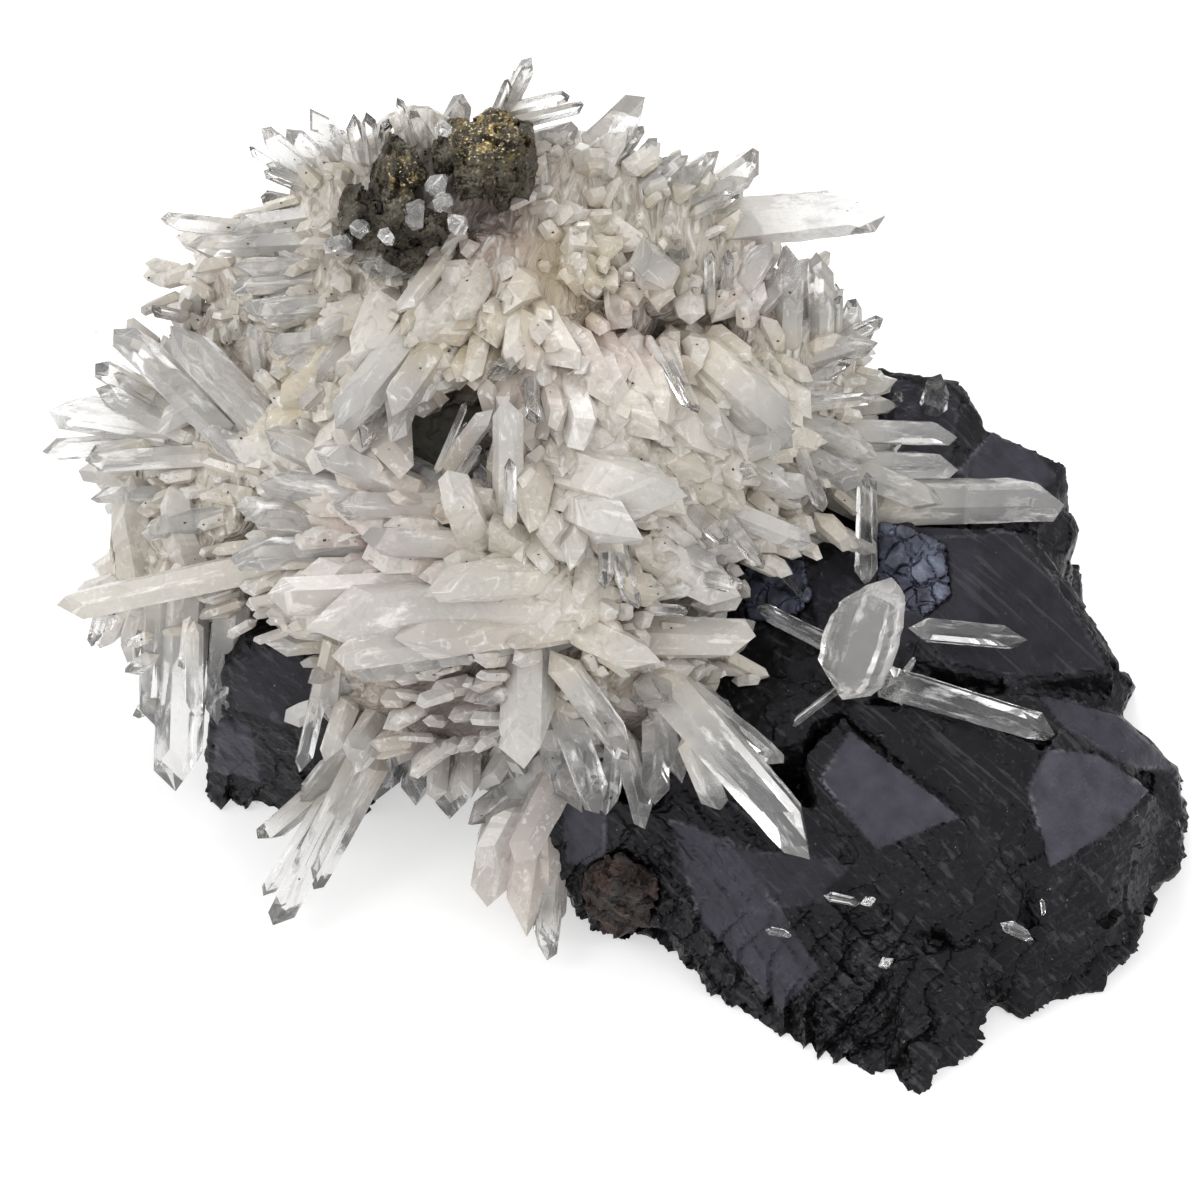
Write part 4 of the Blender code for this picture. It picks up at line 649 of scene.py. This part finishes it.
# Points low on the specimen. Each row: foot across, up, height; tip across, up, height; width.
LOW_POINTS = np.array([
    # left end, hanging beside the black crystal
    (-43.4, 4, 28, -44.8, -12.6, 10.5, 4.2), (-41.6, 5, 29, -42.4, -19.4, 4, 5.6),
    (-36.6, 2.5, 28, -38.1, -12.9, 12.5, 4.4), (-44.6, -3.4, 22.5, -47.6, -4.7, 21, 1.5),
    (-44, -5.4, 19.5, -47.4, -7.4, 17.5, 1.9), (-43.6, -9.6, 14, -46.9, -11.4, 12, 1.9),
    (-49.4, 0.4, 24.5, -50.8, -4.6, 20, 1.8), (-47.6, 0, 24, -49.8, -3.3, 21, 1.4),
    (-40.6, -2, 27, -40.6, -11.8, 17, 2),
    # below the long blades
    (-26.6, -3, 28, -29.9, -17.2, 14.5, 2.1), (-25.2, -5, 25, -26, -11.2, 19, 3.2),
    (-23.6, -8, 20, -22.3, -19.1, 4, 2), (-22, -12, 12, -32.5, -32.7, 2.2, 3.6),
    (-21.6, -15, 11, -28.9, -28.8, 3.4, 3), (-25, -16, 8, -33.6, -29.7, 3.2, 1.9),
    (-22.6, -8, 20, -21.3, -19, 4, 1.8),
    # over the brown crust and the pale block
    (-8, -12.5, 18, -12.7, -19.2, 10.5, 2.6), (-3, -15, 17.5, -13, -22.4, 7.5, 3.6),
    (-17, -9, 14, -18.5, -20.8, 2.4, 4.4), (-13, -10, 15, -14.8, -22.2, 3, 4.8),
    (-20, -9, 13, -22, -20.2, 2.2, 4), (-6, -20, 11, -8, -33.6, 2.4, 5.2),
    (-4.4, -24, 8, -5.7, -36, 1.9, 3), (-3, -15.5, 18.5, -8.6, -26.2, 11, 4.3),
    (-7, -18, 12, -12.6, -28.6, 3.8, 4.6), (-6.5, -14, 10, -10.4, -31, 2.8, 7.4),
    (-6, -19, 12, -5.6, -31.6, 3, 5.6),
    # front row over the left end of the slab
    (-7, -1.5, 31, -7.2, -17, 23, 6.4), (-5, -11, 24, -4.6, -18, 18, 3.4),
    (-8.6, -8.8, 28, -12.7, -10.3, 27, 2.4), (-5, -5, 32, 3.2, -15.8, 26, 3.3),
    (-5, -7, 27, 0.4, -21.2, 18.6, 3.8), (-4.6, -13, 21, -2.2, -21.4, 16, 3.6),
    (1.8, -11.5, 23, 0.9, -21.6, 17.2, 2.4), (2, -12, 22.5, 4.9, -22.8, 17.4, 3),
    (5.8, -10.5, 24, 5.5, -20.6, 20, 3.2), (5.6, -9, 25.5, 8.4, -18.2, 21.6, 3.2),
    (4.6, -7.6, 26, 5.8, -10.4, 31, 4.4), (4, -5.4, 28, 21.4, -25.4, 24.6, 5.5),
    (7, -7.4, 27, 18.2, -16.4, 26.2, 2.7), (7, -7.6, 27, 14, -11.9, 26.6, 2),
])


def quartz_material(name, milk_a, milk_b):
    """Rock crystal: clear where the point value clear is 1, milky where it is 0, veiled in between."""
    material, tree, shader = new_material(name)
    clear = point_value(tree, "clear")
    place = tree.nodes.new("ShaderNodeUVMap")
    place.uv_map = "along"
    noises = []
    for stretch, detail, roughness in (((0.25, 3.4, 1.0), 5.0, 0.7), ((1.3, 0.16, 1.0), 6.0, 0.65)):
        lines = tree.nodes.new("ShaderNodeMapping")
        lines.inputs["Scale"].default_value = stretch
        tree.links.new(place.outputs["UV"], lines.inputs["Vector"])
        noise = add(tree, "ShaderNodeTexNoise", Scale=1.0, Detail=detail, Roughness=roughness)
        tree.links.new(lines.outputs["Vector"], noise.inputs["Vector"])
        noises.append(noise.outputs["Fac"])
    striae, veil = noises
    hue = flecked(tree, milk_a, object_noise(tree, 160, 4), [(0.35, 0.0), (0.65, 1.0)], milk_b)
    hue = tinted(tree, hue, "pink", (0.60, 0.49, 0.44))
    hue = tinted(tree, hue, "warm", (0.56, 0.48, 0.34))
    # Darker brownish patches: partly the quartz's colour, partly painted shade.
    hue = tinted(tree, hue, "brown_and_shade", (0.27, 0.23, 0.205))
    hue = flecked(tree, hue, point_value(tree, "tone"), [(0.3, 0.0), (1.0, 0.7)], (0.69, 0.665, 0.63))
    flaws = object_noise(tree, 900, 6, distortion=1.2)
    hue = flecked(tree, hue, flaws, [(0.36, 0.5), (0.45, 0.0)], (0.40, 0.36, 0.33))
    hue = flecked(tree, hue, flaws, [(0.58, 0.0), (0.68, 0.6)], (0.85, 0.84, 0.82))
    colour = mixed(tree, clear, hue, (0.975, 0.97, 0.965))
    # The veils take away from the clearness, and the clearer a place is, the smoother.
    veils = ramp(tree, veil, [(0.30, 0.6), (0.45, 0.0)])
    cleared = tree.nodes.new("ShaderNodeMath")
    cleared.operation = "SUBTRACT"
    cleared.use_clamp = True
    tree.links.new(clear, cleared.inputs[0])
    tree.links.new(veils, cleared.inputs[1])
    spreads = []
    for source, least, most in ((cleared.outputs[0], 0.0, 0.98), (clear, 0.28, 0.008)):
        spread = add(tree, "ShaderNodeMapRange", To_Min=least, To_Max=most)
        tree.links.new(source, spread.inputs["Value"])
        spreads.append(spread.outputs["Result"])
    through, rough = spreads
    tree.links.new(through, shader.inputs["Transmission Weight"])
    finish_look(tree, shader, colour, rough, [(striae, 0.00008, 0.16)], IOR=1.545)
    return material


rock_crystal = quartz_material("rock_crystal", (0.55, 0.505, 0.405), (0.60, 0.54, 0.455))
mound_foot, mound_tip, mound_width = ends(MOUND_POINTS, on_mound, sunk=3.0, raised=0.5)
tip_across, tip_up = MOUND_POINTS[:, 3], MOUND_POINTS[:, 4]
# The outer points are clear and the middle ones milky, as are the long blades and the thickest on the left.
outskirts = np.hypot((tip_across + 5) / 1.15, tip_up - 18)
mound_clear = np.clip((outskirts - 8) / 15, 0.22, 0.85)
mound_clear[(mound_width > 3.5) & (tip_up < 4.5)] = 0.35
mound_clear[(mound_width >= 5.0) & (tip_across < -40)] = 0.3
outermost = outskirts > 27
mound = prisms("quartz_points", mound_foot, mound_tip, mound_width, rings=9, clear=mound_clear,
               cloud=(np.where(outermost, 0.0, 0.25), np.where(outermost, 0.7, 1.0)))
thin = prisms("quartz_needles", *ends(THIN_POINTS, on_mound, sunk=1.5), rings=7, cloud=(0.05, 0.6))
low_foot, low_tip, low_width = ends(LOW_POINTS, seen)
pale_block = (LOW_POINTS[:, 4] < -26) & (LOW_POINTS[:, 3] > -14) & (low_width > 4)
low_clear = np.where(pale_block, 0.2, 0.95)
low_clear[low_width > 6.3] = 0.3
low = prisms("quartz_low_points", low_foot, low_tip, low_width, rings=9, cloud=(0.05, 0.65), clear=low_clear)

# Points round the back, which lean out of the largest mass in rows at several heights.
BACK_CENTRE = np.array((-8.0, 19.0, 36.0)) - MIDDLE
BACK_RADII = np.array((30.0, 17.0, 30.0))
ROW_HEIGHTS = (24.0, 29.0, 34.0, 39.0, 44.0, 50.0, 56.0)
ROW_COUNTS = (11, 12, 12, 11, 9, 7, 4)
BACK_LIMIT = 40.8
rows = np.repeat(ROW_HEIGHTS, ROW_COUNTS)
spread = np.radians(chance.uniform(8, 172, len(rows)))
around = np.stack([np.cos(spread), np.sin(spread), 0 * rows], axis=1)
share = np.sqrt(np.maximum(0.05, 1 - ((rows - BACK_CENTRE[2]) / BACK_RADII[2]) ** 2))
ring = BACK_RADII * around * share[:, None]
back_foot = np.stack([0 * rows, 0 * rows, rows], axis=1) + BACK_CENTRE * (1, 1, 0) + ring * 0.72
back_way = unit(around + np.outer(chance.uniform(-0.35, 0.5, len(rows)), (0, 0, 1)))
back_long = np.linalg.norm(ring, axis=1) * 0.28 + chance.uniform(4, 9, len(rows))
back_tip = back_foot + back_way * back_long[:, None]
back_up = (back_tip[:, 1] + MIDDLE_Y) * TILT_SIN + (back_tip[:, 2] - VIEW_HEIGHT) * TILT_COS
# None rises over the outline that the crown has in the front view, or reaches out of the solids' box.
kept = back_up < 44.0 - 0.012 * (back_tip[:, 0] + MIDDLE_X + 8.0) ** 2
kept &= back_tip[:, 1] < BACK_LIMIT
back_foot, back_tip = back_foot[kept], back_tip[kept]
back = prisms("quartz_back_points", back_foot, back_tip, chance.uniform(2.2, 5.6, kept.sum()), rings=6,
              cloud=(0.3, 0.95))

# Small points against the larger ones: each keeps near its neighbour's root and leans away from it.
SMALL_POINTS = 170
BACK_WIDTH = 3.6
parent_foot = np.concatenate([mound_foot, low_foot, back_foot])
parent_tip = np.concatenate([mound_tip, low_tip, back_tip])
parent_width = np.concatenate([mound_width, low_width, np.full(len(back_foot), BACK_WIDTH)])
pick = chance.integers(0, len(parent_foot), SMALL_POINTS)
axis = parent_tip[pick] - parent_foot[pick]
length = np.linalg.norm(axis, axis=1)
aside = unit(np.cross(unit(axis), chance.normal(size=(SMALL_POINTS, 3))))
aside = np.where((aside @ toward_viewer > 0.15)[:, None], -aside, aside)
start = chance.uniform(0.0, 0.3, SMALL_POINTS)
gap = parent_width[pick] * chance.uniform(0.2, 0.5, SMALL_POINTS)
small_foot = parent_foot[pick] + axis * start[:, None] + aside * gap[:, None]
small_long = np.minimum(length * chance.uniform(0.3, 0.7, SMALL_POINTS), 11.0) * (1 - start * 0.6)
small_way = unit(unit(axis) + aside * chance.uniform(0.05, 0.6, SMALL_POINTS)[:, None])
small_tip = small_foot + small_way * small_long[:, None]
small_wide = np.clip(small_long * chance.uniform(0.2, 0.4, SMALL_POINTS), 1.0, 3.4)
small = prisms("quartz_small_points", small_foot, small_tip, small_wide, rings=3, cloud=(0.2, 0.9), step=0.01,
               point=0.5)
# Stubby milky points that carpet the mound. Each leans the way of the nearest large point and a little
# toward the viewer, and none reaches far above the mound's face or over the hollow.
CARPET_POINTS = 1700
MIDDLE_REACH = 17.0
carpet_kept = chance.uniform(size=CARPET_POINTS)
carpet_across = chance.uniform(-44, 24, CARPET_POINTS)
carpet_up = chance.uniform(-15, 47, CARPET_POINTS)
halfway = (MOUND_POINTS[:, :2] + MOUND_POINTS[:, 3:5]) / 2
gap = np.hypot(carpet_across[:, None] - halfway[:, 0], carpet_up[:, None] - halfway[:, 1])
near = gap.argmin(axis=1)
middle = np.hypot((carpet_across + 7) / 1.25, carpet_up - 19) < MIDDLE_REACH
within = (gap.min(axis=1) < 16.0) & (inside(carpet_across, carpet_up, HOLLOW, 3.0) < 0.05)
within &= middle | (carpet_kept < 0.66)
# The bare rock on the right, the black crystal on the left and the brown crust below stay free.
within &= (carpet_across < 13.5) | (carpet_up > 4.5)
within &= (carpet_up > -3) | (carpet_across > -20)
within &= (carpet_up > -9) | (np.abs(carpet_across + 10) < 9)
crown = 49 - 0.014 * (carpet_across + 10) ** 2
within &= carpet_up < crown - 2
within &= mound_depth(carpet_across, carpet_up) > np.where(carpet_across > 9, -2.0, -14.0)
carpet_lift = chance.uniform(-6.0, -4.0, CARPET_POINTS) + 0.8 * ~middle
carpet_foot = on_mound(carpet_across, carpet_up, carpet_lift)
way = unit(mound_tip[near] - mound_foot[near]) + np.where(middle, 0.3, 0.55)[:, None] * toward_viewer
way = unit(way + chance.normal(0, 0.24, (CARPET_POINTS, 3)))
carpet_long = chance.uniform(4.0, 8.0, CARPET_POINTS)
carpet_long = carpet_long * np.where(middle, chance.uniform(1.0, 2.0, CARPET_POINTS), 0.8)
carpet_tip = carpet_foot + way * carpet_long[:, None]
carpet_wide = np.clip(carpet_long * chance.uniform(0.24, 0.5, CARPET_POINTS), 1.1, 5.4)
tip_across, tip_up, tip_depth = places_seen(carpet_tip * MM)
above = tip_depth - mound_depth(tip_across, tip_up) - chance.uniform(-2.2, 0.2, CARPET_POINTS)
carpet_tip = carpet_tip - np.maximum(above, 0.0)[:, None] * toward_viewer
within &= (inside(tip_across, tip_up, HOLLOW, 2.0) < 0.05) & (tip_up < crown)
carpet_foot, carpet_tip, carpet_wide = carpet_foot[within], carpet_tip[within], carpet_wide[within]
carpet = prisms("quartz_carpet", carpet_foot, carpet_tip, carpet_wide, rings=3, cloud=(0.3, 1.3),
                clear=np.where(middle, 0.2, 0.4)[within], step=0.01, point=0.55)


def lump(name, centre, radii, seed, rough=0.075, size=3.4, across=128, around=88):
    """A ball stretched to its radii on a grid of bearing and height, swollen unevenly, with closed poles.

    What would stand out of the mound's face or fill the hollow is pushed back from the viewer.
    """
    bearing, tilt = np.meshgrid(np.linspace(0, math.tau, across, endpoint=False),
                                np.linspace(-math.pi / 2, math.pi / 2, around + 2)[1:-1])
    ball = np.stack([np.cos(bearing) * np.cos(tilt), np.sin(bearing) * np.cos(tilt), np.sin(tilt)], axis=-1)
    place = np.concatenate([ball.reshape(-1, 3), [(0, 0, -1), (0, 0, 1)]]) * np.array(radii)
    swell = 1.0 + rough * (wavy(place, size * 2.2, seed + 1) + 0.9 * broken_cells(place, size, seed))
    place = place * swell[:, None] + centre
    across_of, up_of, depth = places_seen(place * MM)
    most = mound_depth(across_of, up_of) - FACE_GAP
    most = np.where(inside(across_of, up_of, HOLLOW, 1.5) > 0.3, HOLLOW_DEPTH, most)
    place = place - np.maximum(depth - most, 0.0)[:, None] * toward_viewer
    place[:, 2] = np.maximum(place[:, 2], 0.2)
    index = np.arange(across * around).reshape(around, across)
    ahead = np.roll(index, -1, axis=1)
    quads = np.stack([index[:-1], ahead[:-1], ahead[1:], index[1:]], axis=-1).reshape(-1, 4)
    south = np.stack([ahead[0], index[0], np.full(across, across * around)], axis=-1)
    north = np.stack([index[-1], ahead[-1], np.full(across, across * around + 1)], axis=-1)
    faces = list(quads) + list(south) + list(north)
    return put_mesh(name, place * MM, faces, milky_quartz, values=tints(place))


material, tree, shader = new_material("milky_quartz")
# The masses' cream is darker and browner than the points', partly as painted shade where they show between
# the points.
colour = ramp(tree, object_noise(tree, 130, 6), [
    (0.3, (0.44, 0.40, 0.33)), (0.5, (0.55, 0.51, 0.44)), (0.7, (0.50, 0.43, 0.38))])
colour = tinted(tree, colour, "pink", (0.48, 0.375, 0.33))
flaws = object_noise(tree, 420, 9, stretch=(0.5, 2.2, 0.9), turn=(0.4, 0.8, 0.3), distortion=2.2)
colour = flecked(tree, colour, flaws, [(0.40, 0.7), (0.47, 0.0)], (0.26, 0.22, 0.19))
colour = flecked(tree, colour, flaws, [(0.54, 0.0), (0.62, 0.75)], (0.80, 0.78, 0.74))
colour = flecked(tree, colour, object_noise(tree, 1500, 2), [(0.75, 0.0), (0.77, 1.0)], (0.06, 0.045, 0.035))
colour = tinted(tree, colour, "warm", (0.46, 0.38, 0.26))
# Darker brownish patches: partly the quartz's colour, partly painted shade.
colour = tinted(tree, colour, "brown_and_shade", (0.24, 0.20, 0.18))
knobbly = object_noise(tree, 700, 6)
finish_look(tree, shader, colour, 0.2, [(knobbly, 0.0006, 0.6), (flaws, 0.0009, 0.8)])
milky_quartz = material

# Rounded milky masses that the points grow from. A mass: its middle and radii in the view's own axes.
# A knob: across, up, lift and radius in the front view.
FACE_GAP = 3.0
HOLLOW_DEPTH = 1.0
MASSES = [
    ((-8, 16, 30), (29, 16, 18)), ((-24, 25, 42), (14, 9, 16)), ((-8, 23, 44), (17, 10, 15)),
    ((11, 19, 35), (14, 11, 13)), ((-35, 15, 29), (12, 9, 10)), ((-11, -1, 23), (17, 7, 12)),
    ((4, -6, 24), (7.5, 5.5, 7.5)),
]
KNOBS = [
    (-24, 39, -8, 7), (-18, 41, -9, 8), (-12, 42, -12, 6), (-3, 38, -10, 9), (7, 35, -10, 9), (18, 24, -9, 8),
    (8, 12, -8, 7), (-44, 5, -6, 5.5), (-32, 26, -8, 8), (-40, 14, -7, 6), (-34, 33, -8, 6),
]
masses = [(np.array(centre) - MIDDLE, np.array(radii, float)) for centre, radii in MASSES]
knobs = [(on_mound(np.float64(across), np.float64(up), lift), np.full(3, float(radius)))
         for across, up, lift, radius in KNOBS]
cores = [lump("quartz_core_%d" % (i + 1), *mass, 40 + i) for i, mass in enumerate(masses)]
cores += [lump("quartz_knob_%d" % (i + 1), *knob, 60 + i, across=48, around=32)
          for i, knob in enumerate(knobs)]
crust_place = seen(np.float64(-14.0), np.float64(-12.5), 9.0) + (0, 4.0, 0)
cores.append(lump("quartz_crust", crust_place, (10.0, 6.5, 9.0), 80, rough=0.12, size=2.4))

# Short points all over the back of the masses, standing square to them.
STUBS_PER_AREA = 2.4
CROWN_STUB = 2.4
stub_foot, stub_way = [], []
for centre, radii in masses + knobs:
    away = unit(chance.normal(size=(int(radii.mean() ** 2 * STUBS_PER_AREA), 3)))
    spots = centre + radii * away * 0.9
    outer = away @ toward_viewer < 0.12
    for other, size in masses + knobs:
        if other is not centre:
            outer &= (((spots - other) / size) ** 2).sum(axis=1) > 0.8
    stub_foot.append(spots[outer])
    stub_way.append((away / radii)[outer])
stub_foot, stub_way = np.concatenate(stub_foot), np.concatenate(stub_way)
foot_across, foot_up, foot_depth = places_seen(stub_foot * MM)
face = mound_depth(foot_across, foot_up) - FACE_GAP
stub_foot = stub_foot - np.maximum(foot_depth - face, 0.0)[:, None] * toward_viewer
stub_way = unit(unit(stub_way) + chance.normal(0, 0.28, stub_way.shape))
stub_long = chance.uniform(3.5, 8.5, len(stub_foot))
stub_across, stub_up, _ = places_seen((stub_foot + stub_way * stub_long[:, None]) * MM)
# The ones that would rise over the crown are cut short, and those that still do are left out.
crown = 43.5 - 0.013 * (stub_across + 8.0) ** 2
stub_long = np.where(stub_up > crown, CROWN_STUB, stub_long)
stub_tip = stub_foot + stub_way * stub_long[:, None]
kept = (foot_depth < face - 1.0) & (places_seen(stub_tip * MM)[1] < crown + 2.6)
kept &= (stub_foot[:, 2] > 7.0) & (stub_tip[:, 1] < 40.5)
stub_wide = np.clip(stub_long * 0.38, 1.4, 3.2)
stubs = prisms("quartz_back_stubs", stub_foot[kept], stub_tip[kept], stub_wide[kept], rings=3,
               cloud=(0.2, 1.1), clear=0.6, point=0.6)
for piece in [mound, thin, low, back, small, carpet, stubs] + cores:
    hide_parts("quartz_cluster")
    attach(piece, "root")


# Quartz on the bare rock
# Loose points that sit on the black rock: a thick milky crystal pointed at both ends with slim ones round
# it, a clear flat one, a clear upright one and two on the top ridge.
TWIN = np.array([(24.2, -10, 25.6, 28.2, 2.6, 35, 7.4)])
GROUP = np.array([
    (24.5, -5.2, 26, 15.6, -0.7, 28.5, 2), (27, -7.4, 25.5, 31.5, -9.4, 25.2, 3.6),
    (27.5, -7.8, 25.6, 45.6, -13.2, 23.6, 3.6), (24.8, -8.2, 25.8, 19.2, -12.5, 25.2, 0.9),
])
SINGLES = {
    "slab": (30.8, -2.8, 27.2, 42.8, -3.9, 27, 3),
    "upright": (26.6, 1.4, 27.4, 26.7, 13, 39, 2.5),
    "ridge": (33, 18, 31.5, 34.2, 22.8, 37.6, 2.8),
    "ridge_small": (29, 18.2, 31, 30.1, 21, 35, 1.4),
}
twin = prisms("quartz_milky_twin", *ends(TWIN, seen), rings=14, cloud=(-4.0, 0.2), step=0.02, clear=0.86,
              barrel=0.2, point=0.24, flat=0.95)
group = prisms("quartz_group_points", *ends(GROUP, seen), rings=9, cloud=(-0.5, 0.25))
for piece in (twin, group):
    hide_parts("quartz_group")
    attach(piece, "root")
for name, row in SINGLES.items():
    piece = prisms("quartz_clear_" + name, *ends(np.array([row]), seen), rings=9, cloud=(-0.6, 0.3))
    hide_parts("quartz_point_" + name)
    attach(piece, "root")


# Pyrite
# Two clumps of blocky fool's gold on the crown, tarnished dark brown, with fresh golden sugar on top.
CLUMP_PITCH = 0.00017
material, tree, shader = new_material("tarnished_pyrite")
gold = ramp(tree, object_noise(tree, 700, 8), [(0.50, 0.0), (0.62, 1.0)])
# Bright golden specks on the fresh gold are painted glints.
painted_glints = ramp(tree, object_noise(tree, 2600, 3), [(0.58, 0.0), (0.64, 1.0)])
colour = ramp(tree, object_noise(tree, 300, 7), [
    (0.3, (0.012, 0.010, 0.008)), (0.5, (0.052, 0.045, 0.033)), (0.75, (0.16, 0.145, 0.115))])
colour = mixed(tree, tinted(tree, (0.0, 0.0, 0.0), "fresh", gold), colour, (0.27, 0.20, 0.085))
colour = mixed(tree, tinted(tree, (0.0, 0.0, 0.0), "fresh", painted_glints), colour, (0.80, 0.66, 0.36))
gloss = ramp(tree, object_noise(tree, 900, 4), [(0.3, 0.22), (0.7, 0.5)])
finish_look(tree, shader, colour, gloss, [(object_noise(tree, 1500, 5), 0.0003, 0.6)], Metallic=0.8)
# Where the gold is fresh on each clump: across, up and radius in the front view.
for side, gold_across, gold_up, gold_reach in (("right", -11.3, 46.8, 3.2), ("left", -19.6, 42.6, 1.6)):
    clump, points, outward = finer_copy("pyrite_" + side, CLUMP_PITCH, "pyrite_clump_" + side)
    across, up, depth = places_seen(points)
    blocks = broken_cells(points / MM, 2.0, 11)
    sugar = broken_cells(points / MM, 0.6, 12)
    fresh = np.exp(-((across - gold_across) ** 2 + (up - gold_up) ** 2) / gold_reach ** 2)
    points = points + outward * ((0.42 * blocks + 0.2 * sugar - 0.08) * MM)[:, None]
    dress(clump, points, material, fresh=fresh)
    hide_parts("pyrite_" + side)
    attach(clump, "root")


# Galena
# Two bluish lead-grey patches let into the rock, cleaved into small cubes with cracks between them.
CUBE_SIZE = 1.9
CUBE_PITCH = 0.00018
CRACK_SHARE = 0.44
material, tree, shader = new_material("lead_grey_galena")
colour = ramp(tree, object_noise(tree, 500, 7), [
    (0.3, (0.022, 0.023, 0.034)), (0.5, (0.075, 0.08, 0.115)), (0.7, (0.17, 0.19, 0.25))])
gloss = ramp(tree, object_noise(tree, 800, 4), [(0.3, 0.25), (0.7, 0.45)])
finish_look(tree, shader, colour, gloss, [(object_noise(tree, 1100, 5), 0.0003, 0.5)], Metallic=0.45)
for side in ("left", "right"):
    patch, points, outward = finer_copy("galena_" + side, CUBE_PITCH, "galena_cubes_" + side)
    turned = (points / MM) @ np.array([(0.8, 0.45, -0.4), (-0.5, 0.86, -0.05), (0.32, 0.24, 0.92)]).T
    turned = turned / CUBE_SIZE + 0.3 * np.stack([wavy(points / MM, 3.0, 21 + i) for i in range(3)], axis=1)
    cell = np.floor(turned)
    rise = np.sin(cell @ np.array((12.9, 78.2, 37.7))) * 0.5
    crack = np.abs(turned - cell - 0.5).max(axis=1) > CRACK_SHARE
    points = points + outward * ((0.34 + 0.14 * rise - 0.26 * crack) * MM)[:, None]
    dress(patch, points, material)
    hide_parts("galena_" + side)
    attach(patch, "root")


# Weathered pyrite
# A crumbly red-brown lump of rusted pyrite on the front edge, inside a dark crust.
LUMP_PITCH = 0.0002
material, tree, shader = new_material("rusted_pyrite")
colour = ramp(tree, object_noise(tree, 420, 8), [
    (0.35, (0.006, 0.005, 0.005)), (0.55, (0.026, 0.014, 0.010)), (0.75, (0.075, 0.036, 0.024))])
finish_look(tree, shader, colour, 0.6, [(object_noise(tree, 1200, 6), 0.0006, 0.8)])
knob, points, outward = finer_copy("weathered_pyrite", LUMP_PITCH, "rusted_lump")
crumbs = broken_cells(points / MM, 0.9, 31)
lumps = broken_cells(points / MM, 2.2, 32)
points = points + outward * ((0.4 * crumbs + 0.9 * lumps - 0.1) * MM)[:, None]
points[:, 2] = np.maximum(points[:, 2], 0.0)
dress(knob, points, material)
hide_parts("weathered_pyrite")
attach(knob, "root")


# Small clear quartz on the other minerals
# Slivers of clear quartz lie in the steps of the black rock, and small rounded ones sit on the pyrite.
SLIVERS = np.array([
    (22.3, -29.5, 13.4, 26.2, -30.3, 12.4, 1.1), (26, -30.4, 12.8, 27.6, -30, 12.8, 1.2),
    (40, -32.3, 10.4, 43.4, -33.9, 9.4, 1.5), (16.5, -33, 9.4, 19.2, -33.5, 9.6, 0.9),
    (27.8, -36.6, 9.2, 29.4, -36, 9.2, 1.5), (44.2, -29.8, 11.6, 44.4, -31.6, 10.4, 0.6),
    (30.4, -7.4, 26.4, 31.6, -5.8, 27.2, 0.8), (16.3, 4.7, 30, 20.3, 0.2, 29.6, 0.7),
    (8.3, 33.4, 52, 13.5, 34, 52, 0.6),
])
slivers = prisms("quartz_slivers", *ends(SLIVERS, seen), rings=4, cloud=(-2.0, -1.0))
GUESTS = np.array([
    (-16.9, 40.4, 3, -15.9, 42.4, 5.6, 2.4), (-18.7, 36.9, 3.4, -18.4, 40.2, 5.8, 2.2),
    (-16.6, 39.4, 2.6, -14.8, 40.4, 4.6, 2), (-14.8, 36.6, 1.4, -13.6, 38.6, 3.4, 2.4),
    (-24.6, 37.6, 2.2, -23.2, 36.6, 4.2, 2), (-15.9, 46.4, 2.6, -15.3, 48, 4.4, 1.8),
    (-27.4, 35.2, 0, -24.6, 35.9, 2.2, 1.9), (-21.8, 36.8, 4, -20.8, 35.6, 5.4, 1.6),
])
guests = prisms("quartz_on_pyrite", *ends(GUESTS, on_mound), rings=4, cloud=(-0.8, 0.5), clear=0.9, point=0.4,
                tone=np.ones(len(GUESTS)))
for piece in (slivers, guests):
    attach(piece, "root")


# Dark grains
# Tiny dark grains of tarnished pyrite and iron oxide are scattered over the quartz, some of them brown.
GRAINS = 420
material, tree, shader = new_material("dark_grains")
colour = ramp(tree, object_noise(tree, 400, 2), [(0.45, (0.012, 0.011, 0.011)), (0.7, (0.06, 0.03, 0.02))])
finish_look(tree, shader, colour, 0.45)
feet = np.concatenate([mound_foot, low_foot, carpet_foot])
tips = np.concatenate([mound_tip, low_tip, carpet_tip])
widths = np.concatenate([mound_width, low_width, carpet_wide])
host = chance.integers(0, len(feet), GRAINS)
along = chance.uniform(0.3, 0.85, GRAINS)[:, None]
axis = unit(tips[host] - feet[host])
face_way = toward_viewer - (axis @ toward_viewer)[:, None] * axis
face_way /= np.linalg.norm(face_way, axis=1)[:, None] + 1e-6
grain_at = feet[host] * (1 - along) + tips[host] * along + face_way * (0.40 * widths[host])[:, None]
star = np.array([(1, 0, 0), (0, 1, 0), (-1, 0, 0), (0, -1, 0), (0, 0, 1), (0, 0, -1)], float)
reach = chance.uniform(0.06, 0.19, (GRAINS, 1, 1))
grain_points = grain_at[:, None] + star[None] * reach * chance.uniform(0.5, 1.3, (GRAINS, 6, 1))
sides = np.array([(0, 1, 4), (1, 2, 4), (2, 3, 4), (3, 0, 4), (1, 0, 5), (2, 1, 5), (3, 2, 5), (0, 3, 5)])
grain_faces = (sides[None] + np.arange(GRAINS)[:, None, None] * len(star)).reshape(-1, 3)
grains = put_mesh("dark_grains", grain_points.reshape(-1, 3) * MM, grain_faces, material)
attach(grains, "root")
